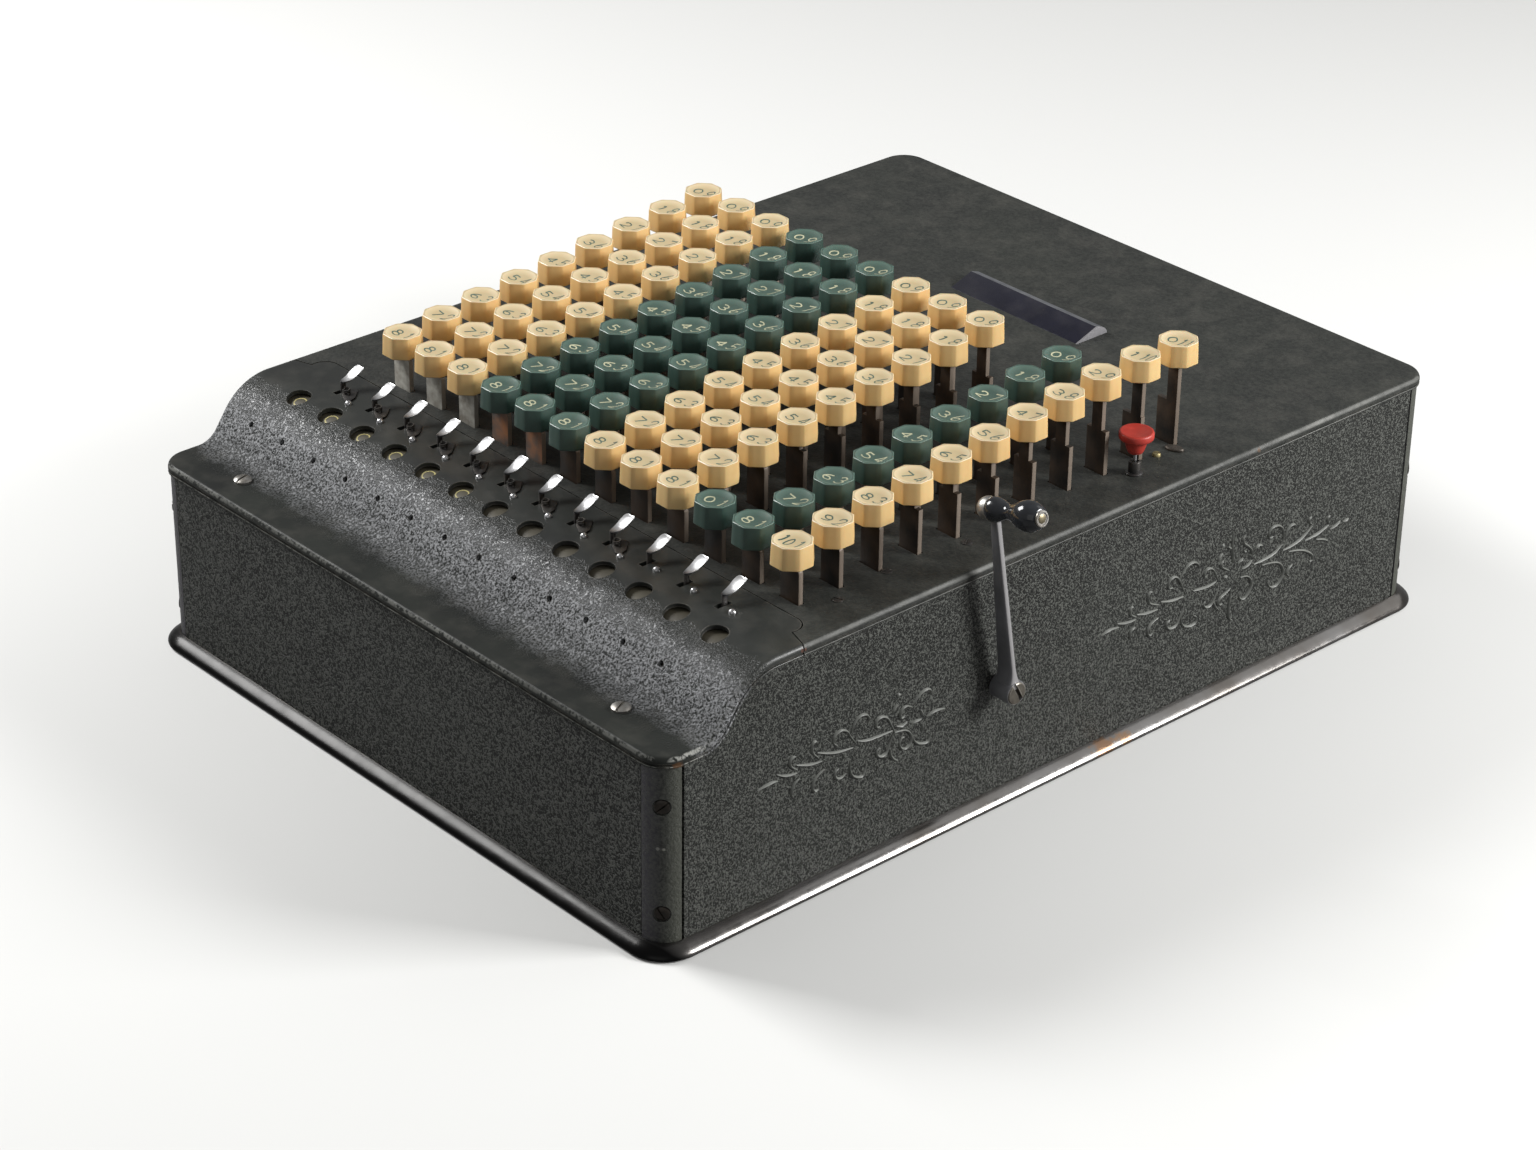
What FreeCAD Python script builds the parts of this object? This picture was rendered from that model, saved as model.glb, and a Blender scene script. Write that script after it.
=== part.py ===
import FreeCAD, Part
import math
import os

from FreeCAD import Placement, Rotation, Vector

# Key-driven adding machine: a sheet-steel case with a key plate, an S-shaped front cover over
# a row of numeral wheels, twelve columns of keys, twelve small levers, a hand lever and a button.
# X runs along the front, Y to the rear, Z up. The origin is the middle of the rest plane.

os.makedirs("parts", exist_ok=True)
doc = FreeCAD.newDocument("adding_machine")
sheet = doc.addObject("Spreadsheet::Sheet", "Sizes")

SIZES = {
    # case
    "case_width": 279.6,
    "case_depth": 372.0,
    "corner_radius": 9.6,
    "pad_thickness": 1.0,
    "pad_inset": 4.0,
    "base_thickness": 3.0,
    "trim_height": 8.0,
    "trim_width": 5.0,
    "trim_bevel": 2.6,
    "trim_facet": 0.95,
    "trim_gap": 0.2,
    "panel_thickness": 1.5,
    "panel_gap": 0.3,
    "post_wall": 2.0,
    "post_flange": 8.0,
    # key plate and front cover
    "plate_top": 96.0,
    "plate_thickness": 1.6,
    "edge_overhang": 0.8,
    "edge_height": 4.0,
    "edge_rim": 3.2,
    "edge_bevel": 1.7,
    "edge_facet": 0.6,
    "lip_top": 75.0,
    "cover_length": 70.8,
    "crest_length": 21.0,
    "crest_radius": 24.0,
    "slope_angle": 55.0,
    "sweep_radius": 9.5,
    "seam_gap": 0.3,
    "seam_step": 10.4,
    "seam_slant": 18.0,
    "lobe_inset": 14.6,
    "lobe_radius": 5.5,
    # keyboard grid: windows and columns share the width between two margins, rows start at the seam
    "left_margin": 26.35,
    "right_margin": 24.65,
    "row_pitch": 17.94,
    "first_row": 7.3,
    "key_top": 118.3,
    "row_rise": 1.99,
    # keys
    "cap_across": 14.3,
    "cap_top_across": 13.6,
    "cap_height": 8.4,
    "dish_depth": 0.9,
    "stem_width": 9.0,
    "stem_neck": 4.8,
    "stem_thickness": 2.2,
    "stem_shoulder": 112.5,
    "stem_foot": 38.0,
    "slot_clearance": 0.35,
    "tenth_key_shift": 1.5,
    "eleventh_key_shift": 2.7,
    "eleventh_key_drop": 1.4,
    # numeral wheels and their windows
    "wheel_count": 13,
    "wheel_radius": 14.0,
    "wheel_width": 11.2,
    "wheel_gap": 0.8,
    "window_radius": 4.65,
    "window_tilt": 12.0,
    "register_radius": 2.5,
    "shaft_side": 4.25,
    "running_gap": 0.05,
    "press_gap": 0.02,
    # small levers in front of the keys
    "lever_side_room": 0.65,
    "lever_thickness": 1.6,
    "lever_pivot_row": 5.5,
    "lever_pivot_height": 80.0,
    "lever_hub": 3.2,
    "lever_neck": 2.0,
    "lever_reach": 5.8,
    "tab_height": 99.0,
    "tab_length": 10.4,
    "tab_rise": 1.5,
    "tab_tip_width": 1.4,
    "tab_width": 3.1,
    "tab_thickness": 1.1,
    "lever_swing": 6.0,
    "lever_front_room": 0.3,
    "lever_rear_room": 0.8,
    # mechanism frame
    "frame_room": 11.8,
    "frame_thickness": 2.0,
    "frame_front": 34.0,
    "frame_rear": 21.0,
    "frame_top": 88.0,
    "tie_bar": 6.0,
    "rear_tie_height": 62.0,
    "rod_radius": 3.0,
    "lever_rod_radius": 1.5,
    "guide_height": 56.0,
    "guide_thickness": 1.6,
    "actuator_thickness": 2.4,
    "actuator_height": 12.0,
    "actuator_pivot_row": 86.0,
    "actuator_pivot_height": 20.0,
    # hand lever on the right
    "crank_row": 149.5,
    "crank_height": 48.2,
    "crank_shaft_radius": 2.5,
    "crank_hub_radius": 4.4,
    "crank_hub_length": 9.0,
    "crank_gap": 0.5,
    "arm_height": 73.4,
    "arm_lean": 12.6,
    "arm_foot_width": 5.8,
    "arm_foot_depth": 3.4,
    "arm_tip_width": 4.2,
    "arm_tip_depth": 2.5,
    "arm_centre": 6.0,
    "ball_radius": 3.8,
    "ball_offset": 1.7,
    "grip_tilt": 13.0,
    "grip_start": 4.1,
    "grip_length": 22.4,
    "grip_pin_radius": 1.3,
    "grip_pin_head": 2.1,
    # release button
    "button_side": 14.3,
    "button_row": 152.0,
    "button_radius": 6.3,
    "button_top": 112.6,
    "button_disc": 3.2,
    "button_cup_radius": 4.1,
    "button_cup_foot": 104.2,
    "button_stem_radius": 1.4,
    "collar_radius": 2.6,
    "collar_height": 4.4,
    # raised bar behind the keys
    "bar_start": -28.6,
    "bar_length": 67.4,
    "bar_front": 82.0,
    "bar_depth": 16.2,
    "bar_crest": 10.7,
    "bar_height": 3.8,
    "bar_rear_height": 2.4,
    "bar_rear_slant": 1.4,
}

ROWS = [9, 9, 9, 9, 9, 9, 9, 9, 9, 1, 9, 11]

for line, (alias, value) in enumerate(SIZES.items(), start=1):
    sheet.set(f"A{line}", alias)
    sheet.set(f"B{line}", str(value))
    sheet.setAlias(f"B{line}", alias)
doc.recompute()


def size(alias):
    return float(sheet.get(alias))


def cell(alias):
    return f"Sizes.{alias}"


# Places that several pieces share, worked out from the sheet
half_width = size("case_width") / 2
half_depth = size("case_depth") / 2
front = -half_depth
base_bottom = size("pad_thickness")
base_top = base_bottom + size("base_thickness")
plate_top = size("plate_top")
plate_under = plate_top - size("edge_height")
edge_x = half_width + size("edge_overhang")
edge_y = half_depth + size("edge_overhang")
edge_corner = size("corner_radius") + size("edge_overhang")
crest_y = -edge_y + size("cover_length") - size("crest_length")
seam_y = -edge_y + size("cover_length")
slope = math.radians(size("slope_angle"))
first_row_y = seam_y + size("first_row")
frame_inner = half_width - size("frame_room")
frame_place = f"({cell('case_width')} / 2 - {cell('frame_room')})"
free_width = size("case_width") - size("left_margin") - size("right_margin")
column_pitch = free_width / (size("wheel_count") - 1)


def column_x(column):
    return -half_width + size("left_margin") + (column + 1) * column_pitch


def row_y(row):
    return first_row_y + row * size("row_pitch")


def polar(centre, radius, degrees):
    angle = math.radians(degrees)
    return (centre[0] + radius * math.cos(angle), centre[1] + radius * math.sin(angle))


# Outlines are lists of segments: ("line", start, end), ("arc", centre, radius, from, to) in
# degrees anticlockwise, or ("circle", centre, radius)
def polygon(points):
    return [("line", points[i - 1], points[i]) for i in range(len(points))]


def rectangle(x0, y0, x1, y1):
    return polygon([(x0, y0), (x1, y0), (x1, y1), (x0, y1)])


def rounded_rectangle(half_x, half_y, radius):
    x, y = half_x - radius, half_y - radius
    return [
        ("line", (-x, -half_y), (x, -half_y)),
        ("arc", (x, -y), radius, 270, 360),
        ("line", (half_x, -y), (half_x, y)),
        ("arc", (x, y), radius, 0, 90),
        ("line", (x, half_y), (-x, half_y)),
        ("arc", (-x, y), radius, 90, 180),
        ("line", (-half_x, y), (-half_x, -y)),
        ("arc", (-x, -y), radius, 180, 270),
    ]


def curve_of(segment):
    kind = segment[0]
    if kind == "line":
        return Part.LineSegment(Vector(*segment[1], 0), Vector(*segment[2], 0))
    circle = Part.Circle(Vector(*segment[1], 0), Vector(0, 0, 1), segment[2])
    if kind == "circle":
        return circle
    return Part.ArcOfCircle(circle, math.radians(segment[3]), math.radians(segment[4]))


def new_body(label):
    body = doc.addObject("PartDesign::Body", label)
    body.Label = label
    return body


def draw(body, name, role, outlines, offset=None):
    """Sketch on one of the body's own origin planes, moved along the normal by an expression."""
    sketch = body.newObject("Sketcher::SketchObject", name)
    plane = next(item for item in body.Origin.OriginFeatures if item.Role == role)
    sketch.AttachmentSupport = (plane, [""])
    sketch.MapMode = "FlatFace"
    if offset is not None:
        sketch.setExpression(".AttachmentOffset.Base.z", offset)
    for outline in outlines:
        sketch.addGeometry([curve_of(segment) for segment in outline], False)
    return sketch


def pad(body, name, sketch, length, midplane=False, reverse=False):
    feature = body.newObject("PartDesign::Pad", name)
    feature.Profile = sketch
    feature.setExpression("Length", length)
    feature.Midplane = midplane
    feature.Reversed = reverse
    return feature


def pocket(body, name, sketch, length=None, reverse=False):
    feature = body.newObject("PartDesign::Pocket", name)
    feature.Profile = sketch
    feature.Reversed = reverse
    if length is None:
        feature.Type = "ThroughAll"
        feature.Midplane = True
    else:
        feature.setExpression("Length", length)
    return feature


def bevel_edges(body, name, base, chosen, width):
    doc.recompute()
    edges = [f"Edge{i}" for i, edge in enumerate(base.Shape.Edges, start=1) if chosen(edge)]
    feature = body.newObject("PartDesign::Chamfer", name)
    feature.Base = (base, edges)
    feature.setExpression("Size", width)
    return feature


def shape_feature(label, shape):
    feature = doc.addObject("Part::Feature", label)
    feature.Label = label
    feature.Shape = shape
    return feature


def face_of(outlines):
    wires = []
    for outline in outlines:
        edges = [curve_of(segment).toShape() for segment in outline]
        wires.append(Part.Wire(Part.__sortEdges__(edges)))
    return Part.makeFace(wires, "Part::FaceMakerBullseye")


def upright(face):
    """Turns a face drawn as (Y, Z) from the XY plane into the YZ plane."""
    return face.transformed(
        FreeCAD.Matrix(0, 0, 1, 0, 1, 0, 0, 0, 0, 1, 0, 0, 0, 0, 0, 1), True
    )


def slab(outlines, x_start, length):
    """A (Y, Z) profile pushed along +X."""
    return upright(face_of(outlines)).translate(Vector(x_start, 0, 0)).extrude(Vector(length, 0, 0))


def ring(sides, radius, height):
    """Corners of a regular polygon, flats towards X and Y; a radius of 0 gives one point."""
    if radius == 0:
        return [Vector(0, 0, height)] * sides
    angles = [(k + 0.5) * 2 * math.pi / sides for k in range(sides)]
    return [Vector(radius * math.cos(a), radius * math.sin(a), height) for a in angles]


def faceted(sides, stations, tube=False):
    """Turned form with flat facets along Z. Stations are (radius, height); a tube closes on itself."""
    rings = [ring(sides, radius, height) for radius, height in stations]
    pairs = list(zip(rings, rings[1:]))
    if tube:
        pairs.append((rings[-1], rings[0]))
    faces = []
    for low, high in pairs:
        for k in range(sides):
            corners = [low[k - 1], low[k], high[k], high[k - 1]]
            unique = [c for i, c in enumerate(corners) if not c.isEqual(corners[i - 1], 1e-6)]
            faces.append(Part.Face(Part.makePolygon(unique + unique[:1])))
    if not tube:
        for end, (radius, _) in ((rings[0], stations[0]), (rings[-1], stations[-1])):
            if radius > 0:
                faces.append(Part.Face(Part.makePolygon(end + end[:1])))
    solid = Part.makeSolid(Part.makeShell(faces))
    if solid.Volume < 0:
        solid.reverse()
    return solid


def circumscribed(radius, sides):
    """Corner radius of a polygon whose flats are at the given radius."""
    return radius / math.cos(math.pi / sides)


def polygon_hole(centre, radius, sides):
    corner = circumscribed(radius, sides)
    return polygon([polar(centre, corner, (k + 0.5) * 360 / sides) for k in range(sides)])


def border_distance(point):
    """Distance of a point inside the rolled outer edge of the cover and the key plate."""
    return plan_distance(point, edge_x, edge_y, edge_corner)


def plan_distance(point, half_x, half_y, corner):
    x, y = abs(point.x) - (half_x - corner), abs(point.y) - (half_y - corner)
    if x > 0 and y > 0:
        return corner - math.hypot(x, y)
    return corner - max(x, y)


def middle(edge):
    return edge.valueAt((edge.FirstParameter + edge.LastParameter) / 2)


def is_level(edge):
    return edge.BoundBox.ZLength < 0.01


def near(value, wanted):
    return abs(value - wanted) < 0.02


# Case: base, felt pad, bright trim, panels and corner posts
def build_base():
    body = new_body("base_plate")
    outline = rounded_rectangle(half_width, half_depth, size("corner_radius"))
    sketch = draw(body, "base_outline", "XY_Plane", [outline], cell("pad_thickness"))
    pad(body, "base_pad", sketch, cell("base_thickness"))
    return body


def build_felt():
    felt = doc.addObject("Part::Box", "felt_pad")
    felt.setExpression("Length", f"{cell('case_width')} - 2 * {cell('pad_inset')}")
    felt.setExpression("Width", f"{cell('case_depth')} - 2 * {cell('pad_inset')}")
    felt.setExpression("Height", cell("pad_thickness"))
    felt.setExpression(".Placement.Base.x", f"{cell('pad_inset')} - {cell('case_width')} / 2")
    felt.setExpression(".Placement.Base.y", f"{cell('pad_inset')} - {cell('case_depth')} / 2")
    return felt


def build_trim():
    """Bead around the base: a ring whose outer edges are bevelled, then eased once more."""
    body = new_body("base_trim")
    gap, width = size("trim_gap"), size("trim_width")
    inner = rounded_rectangle(half_width + gap, half_depth + gap, size("corner_radius") + gap)
    reach = gap + width
    half_x, half_y, corner = half_width + reach, half_depth + reach, size("corner_radius") + reach
    sketch = draw(body, "trim_outline", "XY_Plane", [rounded_rectangle(half_x, half_y, corner), inner],
                  cell("pad_thickness"))
    low, high = base_bottom, base_bottom + size("trim_height")
    bevel = size("trim_bevel")

    def chosen(places):
        def test(edge):
            point = middle(edge)
            inside = plan_distance(point, half_x, half_y, corner)
            return is_level(edge) and any(near(inside, d) and near(point.z, z) for d, z in places)
        return test

    ring_pad = pad(body, "trim_pad", sketch, cell("trim_height"))
    bevelled = bevel_edges(body, "trim_bevelled", ring_pad, chosen([(0, low), (0, high)]), cell("trim_bevel"))
    eased = [(0, high - bevel), (bevel, high)]
    bevel_edges(body, "trim_eased", bevelled, chosen(eased), cell("trim_facet"))
    return body


def cover_curve(depth, land=0.0):
    """The front cover's section, depth below its top: lip, sweep, slope, crest and flat.

    A land in degrees makes the first stretch of the crest a flat chord, as under the windows.
    """
    crest = (crest_y, plate_top - size("crest_radius"))
    radius = size("crest_radius") - depth
    crest_foot = polar(crest, radius, 90 + size("slope_angle"))
    sweep_height = size("lip_top") + size("sweep_radius")
    drop = plate_top - size("lip_top") - (size("crest_radius") + size("sweep_radius")) * (1 - math.cos(slope))
    run = drop / math.tan(slope)
    sweep_y = crest[0] - (size("crest_radius") + size("sweep_radius")) * math.sin(slope) - run
    sweep = (sweep_y, sweep_height)
    sweep_radius = size("sweep_radius") + depth
    sweep_end = polar(sweep, sweep_radius, 270 + size("slope_angle"))
    return {
        "lip": (sweep_y, size("lip_top") - depth),
        "sweep": ("arc", sweep, sweep_radius, 270, 270 + size("slope_angle")),
        "slope": ("line", sweep_end, crest_foot),
        "crest": ("arc", crest, radius, 90 + land, 90 + size("slope_angle")),
        "crest_end": polar(crest, radius, 90 + land),
        "flat_end": (crest_y, plate_top - depth),
    }


def cover_profile(upper, lower, y_front, y_rear, land=0.0):
    top, under = cover_curve(upper, land), cover_curve(lower)
    chord = [("line", top["crest_end"], top["flat_end"])] if land else []
    return [
        ("line", (y_front, top["lip"][1]), top["lip"]),
        top["sweep"],
        top["slope"],
        top["crest"],
        *chord,
        ("line", top["flat_end"], (y_rear, plate_top - upper)),
        ("line", (y_rear, plate_top - upper), (y_rear, plate_top - lower)),
        ("line", (y_rear, plate_top - lower), under["flat_end"]),
        under["crest"],
        under["slope"],
        under["sweep"],
        ("line", under["lip"], (y_front, under["lip"][1])),
        ("line", (y_front, under["lip"][1]), (y_front, top["lip"][1])),
    ]


def panel_profile(y_front, y_rear):
    """A side panel: its top edge follows the underside of the cover and of the key plate."""
    under = cover_curve(size("edge_height"))
    return [
        ("line", (y_front, base_top), (y_front, under["lip"][1])),
        ("line", (y_front, under["lip"][1]), under["lip"]),
        under["sweep"],
        under["slope"],
        under["crest"],
        ("line", under["flat_end"], (y_rear, plate_under)),
        ("line", (y_rear, plate_under), (y_rear, base_top)),
        ("line", (y_rear, base_top), (y_front, base_top)),
    ]


def build_side_panel(label, side):
    body = new_body(label)
    reach = half_depth - size("corner_radius") - size("panel_gap")
    outlines = [panel_profile(-reach, reach)]
    if side > 0:
        outlines.append(polygon_hole(crank_axis(), size("crank_shaft_radius") + size("panel_gap"), 8))
    offset = f"{cell('case_width')} / 2 - {cell('panel_thickness')}"
    if side < 0:
        offset = f"-{cell('case_width')} / 2"
    sketch = draw(body, label + "_outline", "YZ_Plane", outlines, offset)
    pad(body, label + "_pad", sketch, cell("panel_thickness"))
    return body


def build_end_panel(label, side):
    body = new_body(label)
    reach = half_width - size("corner_radius") - size("panel_gap")
    top = plate_under if side > 0 else size("lip_top") - size("edge_height")
    offset = f"{cell('case_depth')} / 2"
    if side > 0:
        offset = f"-{cell('case_depth')} / 2 + {cell('panel_thickness')}"
    sketch = draw(body, label + "_outline", "XZ_Plane", [rectangle(-reach, base_top, reach, top)], offset)
    pad(body, label + "_pad", sketch, cell("panel_thickness"), reverse=True)
    return body


def post_outline(side_x, side_y):
    """Quarter-round corner with a flange behind each of the two panels that meet it."""
    radius, flange = size("corner_radius"), size("post_flange")
    behind = radius - size("panel_thickness")
    inner = behind - size("post_wall")
    centre = (side_x * (half_width - radius), side_y * (half_depth - radius))
    start = {(1, 1): 0, (-1, 1): 90, (-1, -1): 180, (1, -1): 270}[(side_x, side_y)]
    steps = [(0, radius), (0, behind), (-flange, behind), (-flange, inner), (0, inner),
             (inner, 0), (inner, -flange), (behind, -flange), (behind, 0), (radius, 0)]
    points = [(centre[0] + side_x * x, centre[1] + side_y * y) for x, y in steps]
    sides = [("line", points[i], points[i + 1]) for i in range(len(points) - 1)]
    return [("arc", centre, radius, start, start + 90)] + sides


def build_posts():
    posts = []
    for i, (side_x, side_y) in enumerate([(-1, -1), (1, -1), (1, 1), (-1, 1)]):
        body = new_body(f"post_{i + 1}")
        sketch = draw(body, f"post_{i + 1}_outline", "XY_Plane", [post_outline(side_x, side_y)],
                      f"{cell('pad_thickness')} + {cell('base_thickness')}")
        top = cell("plate_top") if side_y > 0 else cell("lip_top")
        height = f"{top} - {cell('edge_height')} - {cell('pad_thickness')} - {cell('base_thickness')}"
        pad(body, f"post_{i + 1}_pad", sketch, height)
        posts.append(body)
    group = doc.addObject("Part::Compound", "corner_posts")
    group.Links = posts
    return group


# Key plate and front cover, which meet at a seam with a scalloped lobe near each end
def seam_line(shift):
    """The seam, moved by shift towards the key plate: slanted end, round lobe, long straight run."""
    slant = math.radians(size("seam_slant"))
    lobe = (edge_x - size("lobe_inset"), seam_y - size("lobe_radius"))
    radius = size("lobe_radius") + shift
    corner = (edge_x, seam_y - size("seam_step") + shift / math.cos(slant))
    along = (-math.cos(slant), math.sin(slant))
    offset = (lobe[0] - corner[0], lobe[1] - corner[1])
    reach = offset[0] * along[0] + offset[1] * along[1]
    aside = offset[0] * along[1] - offset[1] * along[0]
    reach -= math.sqrt(radius**2 - aside**2)
    foot = (corner[0] + reach * along[0], corner[1] + reach * along[1])
    turn = math.degrees(math.atan2(foot[1] - lobe[1], foot[0] - lobe[0]))
    run = seam_y + shift
    return [
        ("line", corner, foot),
        ("arc", lobe, radius, turn, 90),
        ("line", (lobe[0], run), (-lobe[0], run)),
        ("arc", (-lobe[0], lobe[1]), radius, 90, 180 - turn),
        ("line", (-foot[0], foot[1]), (-corner[0], corner[1])),
    ]


def seam_corner(shift):
    return seam_line(shift)[0][1][1]


def half_plan(y_end, inset, shift, open_end):
    """The plan of the cover (y_end < 0) or of the key plate, inset from its outer edges."""
    side = 1 if y_end > 0 else -1
    x, y = edge_x - inset, edge_y - inset
    radius = edge_corner - inset
    start = (0, 90) if side > 0 else (270, 180)
    corners = [
        ("arc", (x - radius, side * (y - radius)), radius, start[0], start[0] + 90),
        ("arc", (-x + radius, side * (y - radius)), radius, start[1], start[1] + 90),
        ("line", (x - radius, side * y), (-x + radius, side * y)),
    ]
    corner_y = side * (y - radius)
    if open_end is None:
        joint = seam_corner(shift)
        sides = [("line", (x, corner_y), (x, joint)), ("line", (-x, corner_y), (-x, joint))]
        return corners + sides + seam_line(shift)
    sides = [
        ("line", (x, corner_y), (x, open_end)),
        ("line", (-x, corner_y), (-x, open_end)),
        ("line", (x, open_end), (-x, open_end)),
    ]
    return corners + sides


def slot_outline(x, y):
    gap = size("slot_clearance")
    half_x, half_y = size("stem_width") / 2 + gap, size("stem_thickness") / 2 + gap
    return rectangle(x - half_x, y - half_y, x + half_x, y + half_y)


def build_key_plate():
    body = new_body("key_plate")
    outline = half_plan(edge_y, 0, size("seam_gap"), None)
    under = f"{cell('plate_top')} - {cell('edge_height')}"
    sketch = draw(body, "plate_outline", "XY_Plane", [outline], under)
    block = pad(body, "plate_pad", sketch, cell("edge_height"))
    bevel = size("edge_bevel")

    def chosen(places):
        def test(edge):
            point = middle(edge)
            behind = point.y > seam_corner(0) - 1
            inside = border_distance(point)
            return is_level(edge) and behind and any(near(inside, d) and near(point.z, z) for d, z in places)
        return test

    bevelled = bevel_edges(body, "plate_bevelled", block, chosen([(0, plate_top)]), cell("edge_bevel"))
    eased = [(0, plate_top - bevel), (bevel, plate_top)]
    solid = bevel_edges(body, "plate_eased", bevelled, chosen(eased), cell("edge_facet"))
    doc.recompute()
    volume = solid.Shape.Volume
    hollow = half_plan(edge_y, size("edge_rim"), 0, seam_corner(0) - 1)
    sketch = draw(body, "plate_hollow", "XY_Plane", [hollow], under)
    pocket(body, "plate_recess", sketch, f"{cell('edge_height')} - {cell('plate_thickness')}", reverse=True)
    slots = [slot_outline(column_x(c), row_y(r)) for c, rows in enumerate(ROWS) for r in range(rows)]
    bore = size("button_stem_radius") + size("running_gap")
    slots.append([("circle", button_place(), bore)])
    sketch = draw(body, "key_slots", "XY_Plane", slots, cell("plate_top"))
    pocket(body, "key_slot_cut", sketch, cell("edge_height"))
    doc.recompute()
    print("key plate volume", round(volume), "to", round(body.Shape.Volume))
    return body


def window_place():
    """Where a window's axis meets the crest, as (Y, Z), and its direction out of the cover."""
    crest = (crest_y, plate_top - size("crest_radius"))
    tilt = math.radians(size("window_tilt"))
    point = polar(crest, size("crest_radius"), 90 + size("window_tilt"))
    return point, Vector(0, -math.sin(tilt), math.cos(tilt))


def wheel_axis():
    """The wheels clear the flat under the windows by the wheel gap."""
    crest = (crest_y, plate_top - size("crest_radius"))
    flat = (size("crest_radius") - size("plate_thickness")) * math.cos(math.radians(size("window_tilt")))
    return polar(crest, flat - size("wheel_gap") - size("wheel_radius"), 90 + size("window_tilt"))


def wheel_x(i):
    return column_x(i - 1)


def lever_x(column):
    beside = size("wheel_width") / 2 + size("lever_side_room") + size("lever_thickness") / 2
    return column_x(column - 1) + beside


def lever_pivot():
    return (seam_y - size("lever_pivot_row"), size("lever_pivot_height"))


def lever_slot():
    """The Y range that the lever's neck sweeps through the cover, with clearance."""
    pivot = lever_pivot()
    neck = pivot[0] - size("lever_reach")
    swing = math.sin(math.radians(size("lever_swing"))) * (plate_top - pivot[1])
    half = size("lever_neck") / 2 + size("slot_clearance")
    return neck - half - swing - size("lever_front_room"), neck + half + size("lever_rear_room")


def build_front_cover():
    """S-shaped shell with a beaded rim at the front and the sides, windows and lever slots."""
    rear = seam_y + 1
    block = slab([cover_profile(0, size("edge_height"), -edge_y - 1, rear)], -edge_x - 1, 2 * edge_x + 2)
    tall = Vector(0, 0, plate_top)
    plan = face_of([half_plan(-edge_y, 0, 0, None)]).extrude(tall)
    shell = block.common(plan)
    top = cover_curve(0)
    crown = Part.Compound([curve_of(segment).toShape() for segment in [
        ("line", (-edge_y - 1, top["lip"][1]), top["lip"]), top["sweep"], top["slope"], top["crest"],
        ("line", top["flat_end"], (rear, plate_top))]])

    def chosen(places):
        def test(edge):
            point = middle(edge)
            depth = crown.distToShape(Part.Vertex(point.y, point.z, 0))[0]
            inside = border_distance(point)
            ahead = point.y < seam_corner(0) and edge.Length > 0.5
            return ahead and any(near(inside, d) and near(depth, z) for d, z in places)
        return test

    bevel = size("edge_bevel")
    shell = shell.makeChamfer(bevel, [e for e in shell.Edges if chosen([(0, 0)])(e)])
    eased = chosen([(0, bevel), (bevel, 0)])
    shell = shell.makeChamfer(size("edge_facet"), [e for e in shell.Edges if eased(e)])
    land = 2 * size("window_tilt")
    inside = slab([cover_profile(size("plate_thickness"), size("edge_height") + 2, -edge_y, rear, land)],
                  -edge_x, 2 * edge_x)
    inner_plan = face_of([half_plan(-edge_y, size("edge_rim"), 0, rear)]).extrude(tall)
    shell = shell.cut(inside.common(inner_plan))
    cutters = []
    (y, z), direction = window_place()
    sides = 12
    window = faceted(sides, [(circumscribed(size("window_radius"), sides), -3),
                             (circumscribed(size("window_radius"), sides), 3)])
    for i in range(int(size("wheel_count"))):
        cutter = window.copy()
        cutter.Placement = Placement(Vector(wheel_x(i), y, z), Rotation(Vector(0, 0, 1), direction))
        cutters.append(cutter)
    y_low, y_high = lever_slot()
    half = size("lever_thickness") / 2 + size("slot_clearance")
    for column in range(len(ROWS)):
        corner = Vector(lever_x(column) - half, y_low, plate_under)
        cutters.append(Part.makeBox(2 * half, y_high - y_low, 2 * size("edge_height"), corner))
    return shape_feature("front_cover", shell.cut(Part.makeCompound(cutters)))


def build_name_bar():
    body = new_body("name_bar")
    y = half_depth - size("bar_front")
    rear = y + size("bar_depth")
    outline = polygon([(y, plate_top), (rear, plate_top),
                       (rear - size("bar_rear_slant"), plate_top + size("bar_rear_height")),
                       (y + size("bar_crest"), plate_top + size("bar_height"))])
    sketch = draw(body, "bar_profile", "YZ_Plane", [outline], cell("bar_start"))
    pad(body, "bar_pad", sketch, cell("bar_length"))
    return body


# Keys: an eight-sided dished cap on a flat steel stem, one group of each for every column
def build_cap_master():
    cap = faceted(8, [(circumscribed(size("cap_across") / 2, 8), -size("cap_height")),
                      (circumscribed(size("cap_top_across") / 2, 8), 0), (0, -size("dish_depth"))])
    return cap


def key_top(column, row):
    """Middle of a cap's rim; the last two keys of the longest column sit a little askew."""
    x = column_x(column)
    z = size("key_top") + row * size("row_rise")
    if row == 9:
        x += size("tenth_key_shift")
    if row == 10:
        x += size("eleventh_key_shift")
        z -= size("eleventh_key_drop")
    return Vector(x, row_y(row), z)


def stem_solid(column, row):
    """Flat stem. Those of the last column, which stand in full view, narrow to a neck at a shoulder."""
    x, y, thick = column_x(column), row_y(row), size("stem_thickness")
    top = key_top(column, row).z - size("cap_height")
    half, neck = size("stem_width") / 2, size("stem_neck") / 2
    necked = column == len(ROWS) - 1
    shoulder = min(size("stem_shoulder"), top) if necked else top
    points = [(x - half, size("stem_foot")), (x + half, size("stem_foot")), (x + half, shoulder)]
    if top > shoulder:
        points += [(x + neck, shoulder), (x + neck, top), (x - neck, top), (x - neck, shoulder)]
    points.append((x - half, shoulder))
    wire = Part.makePolygon([Vector(px, y - thick / 2, pz) for px, pz in points + points[:1]])
    return Part.Face(wire).extrude(Vector(0, thick, 0))


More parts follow.
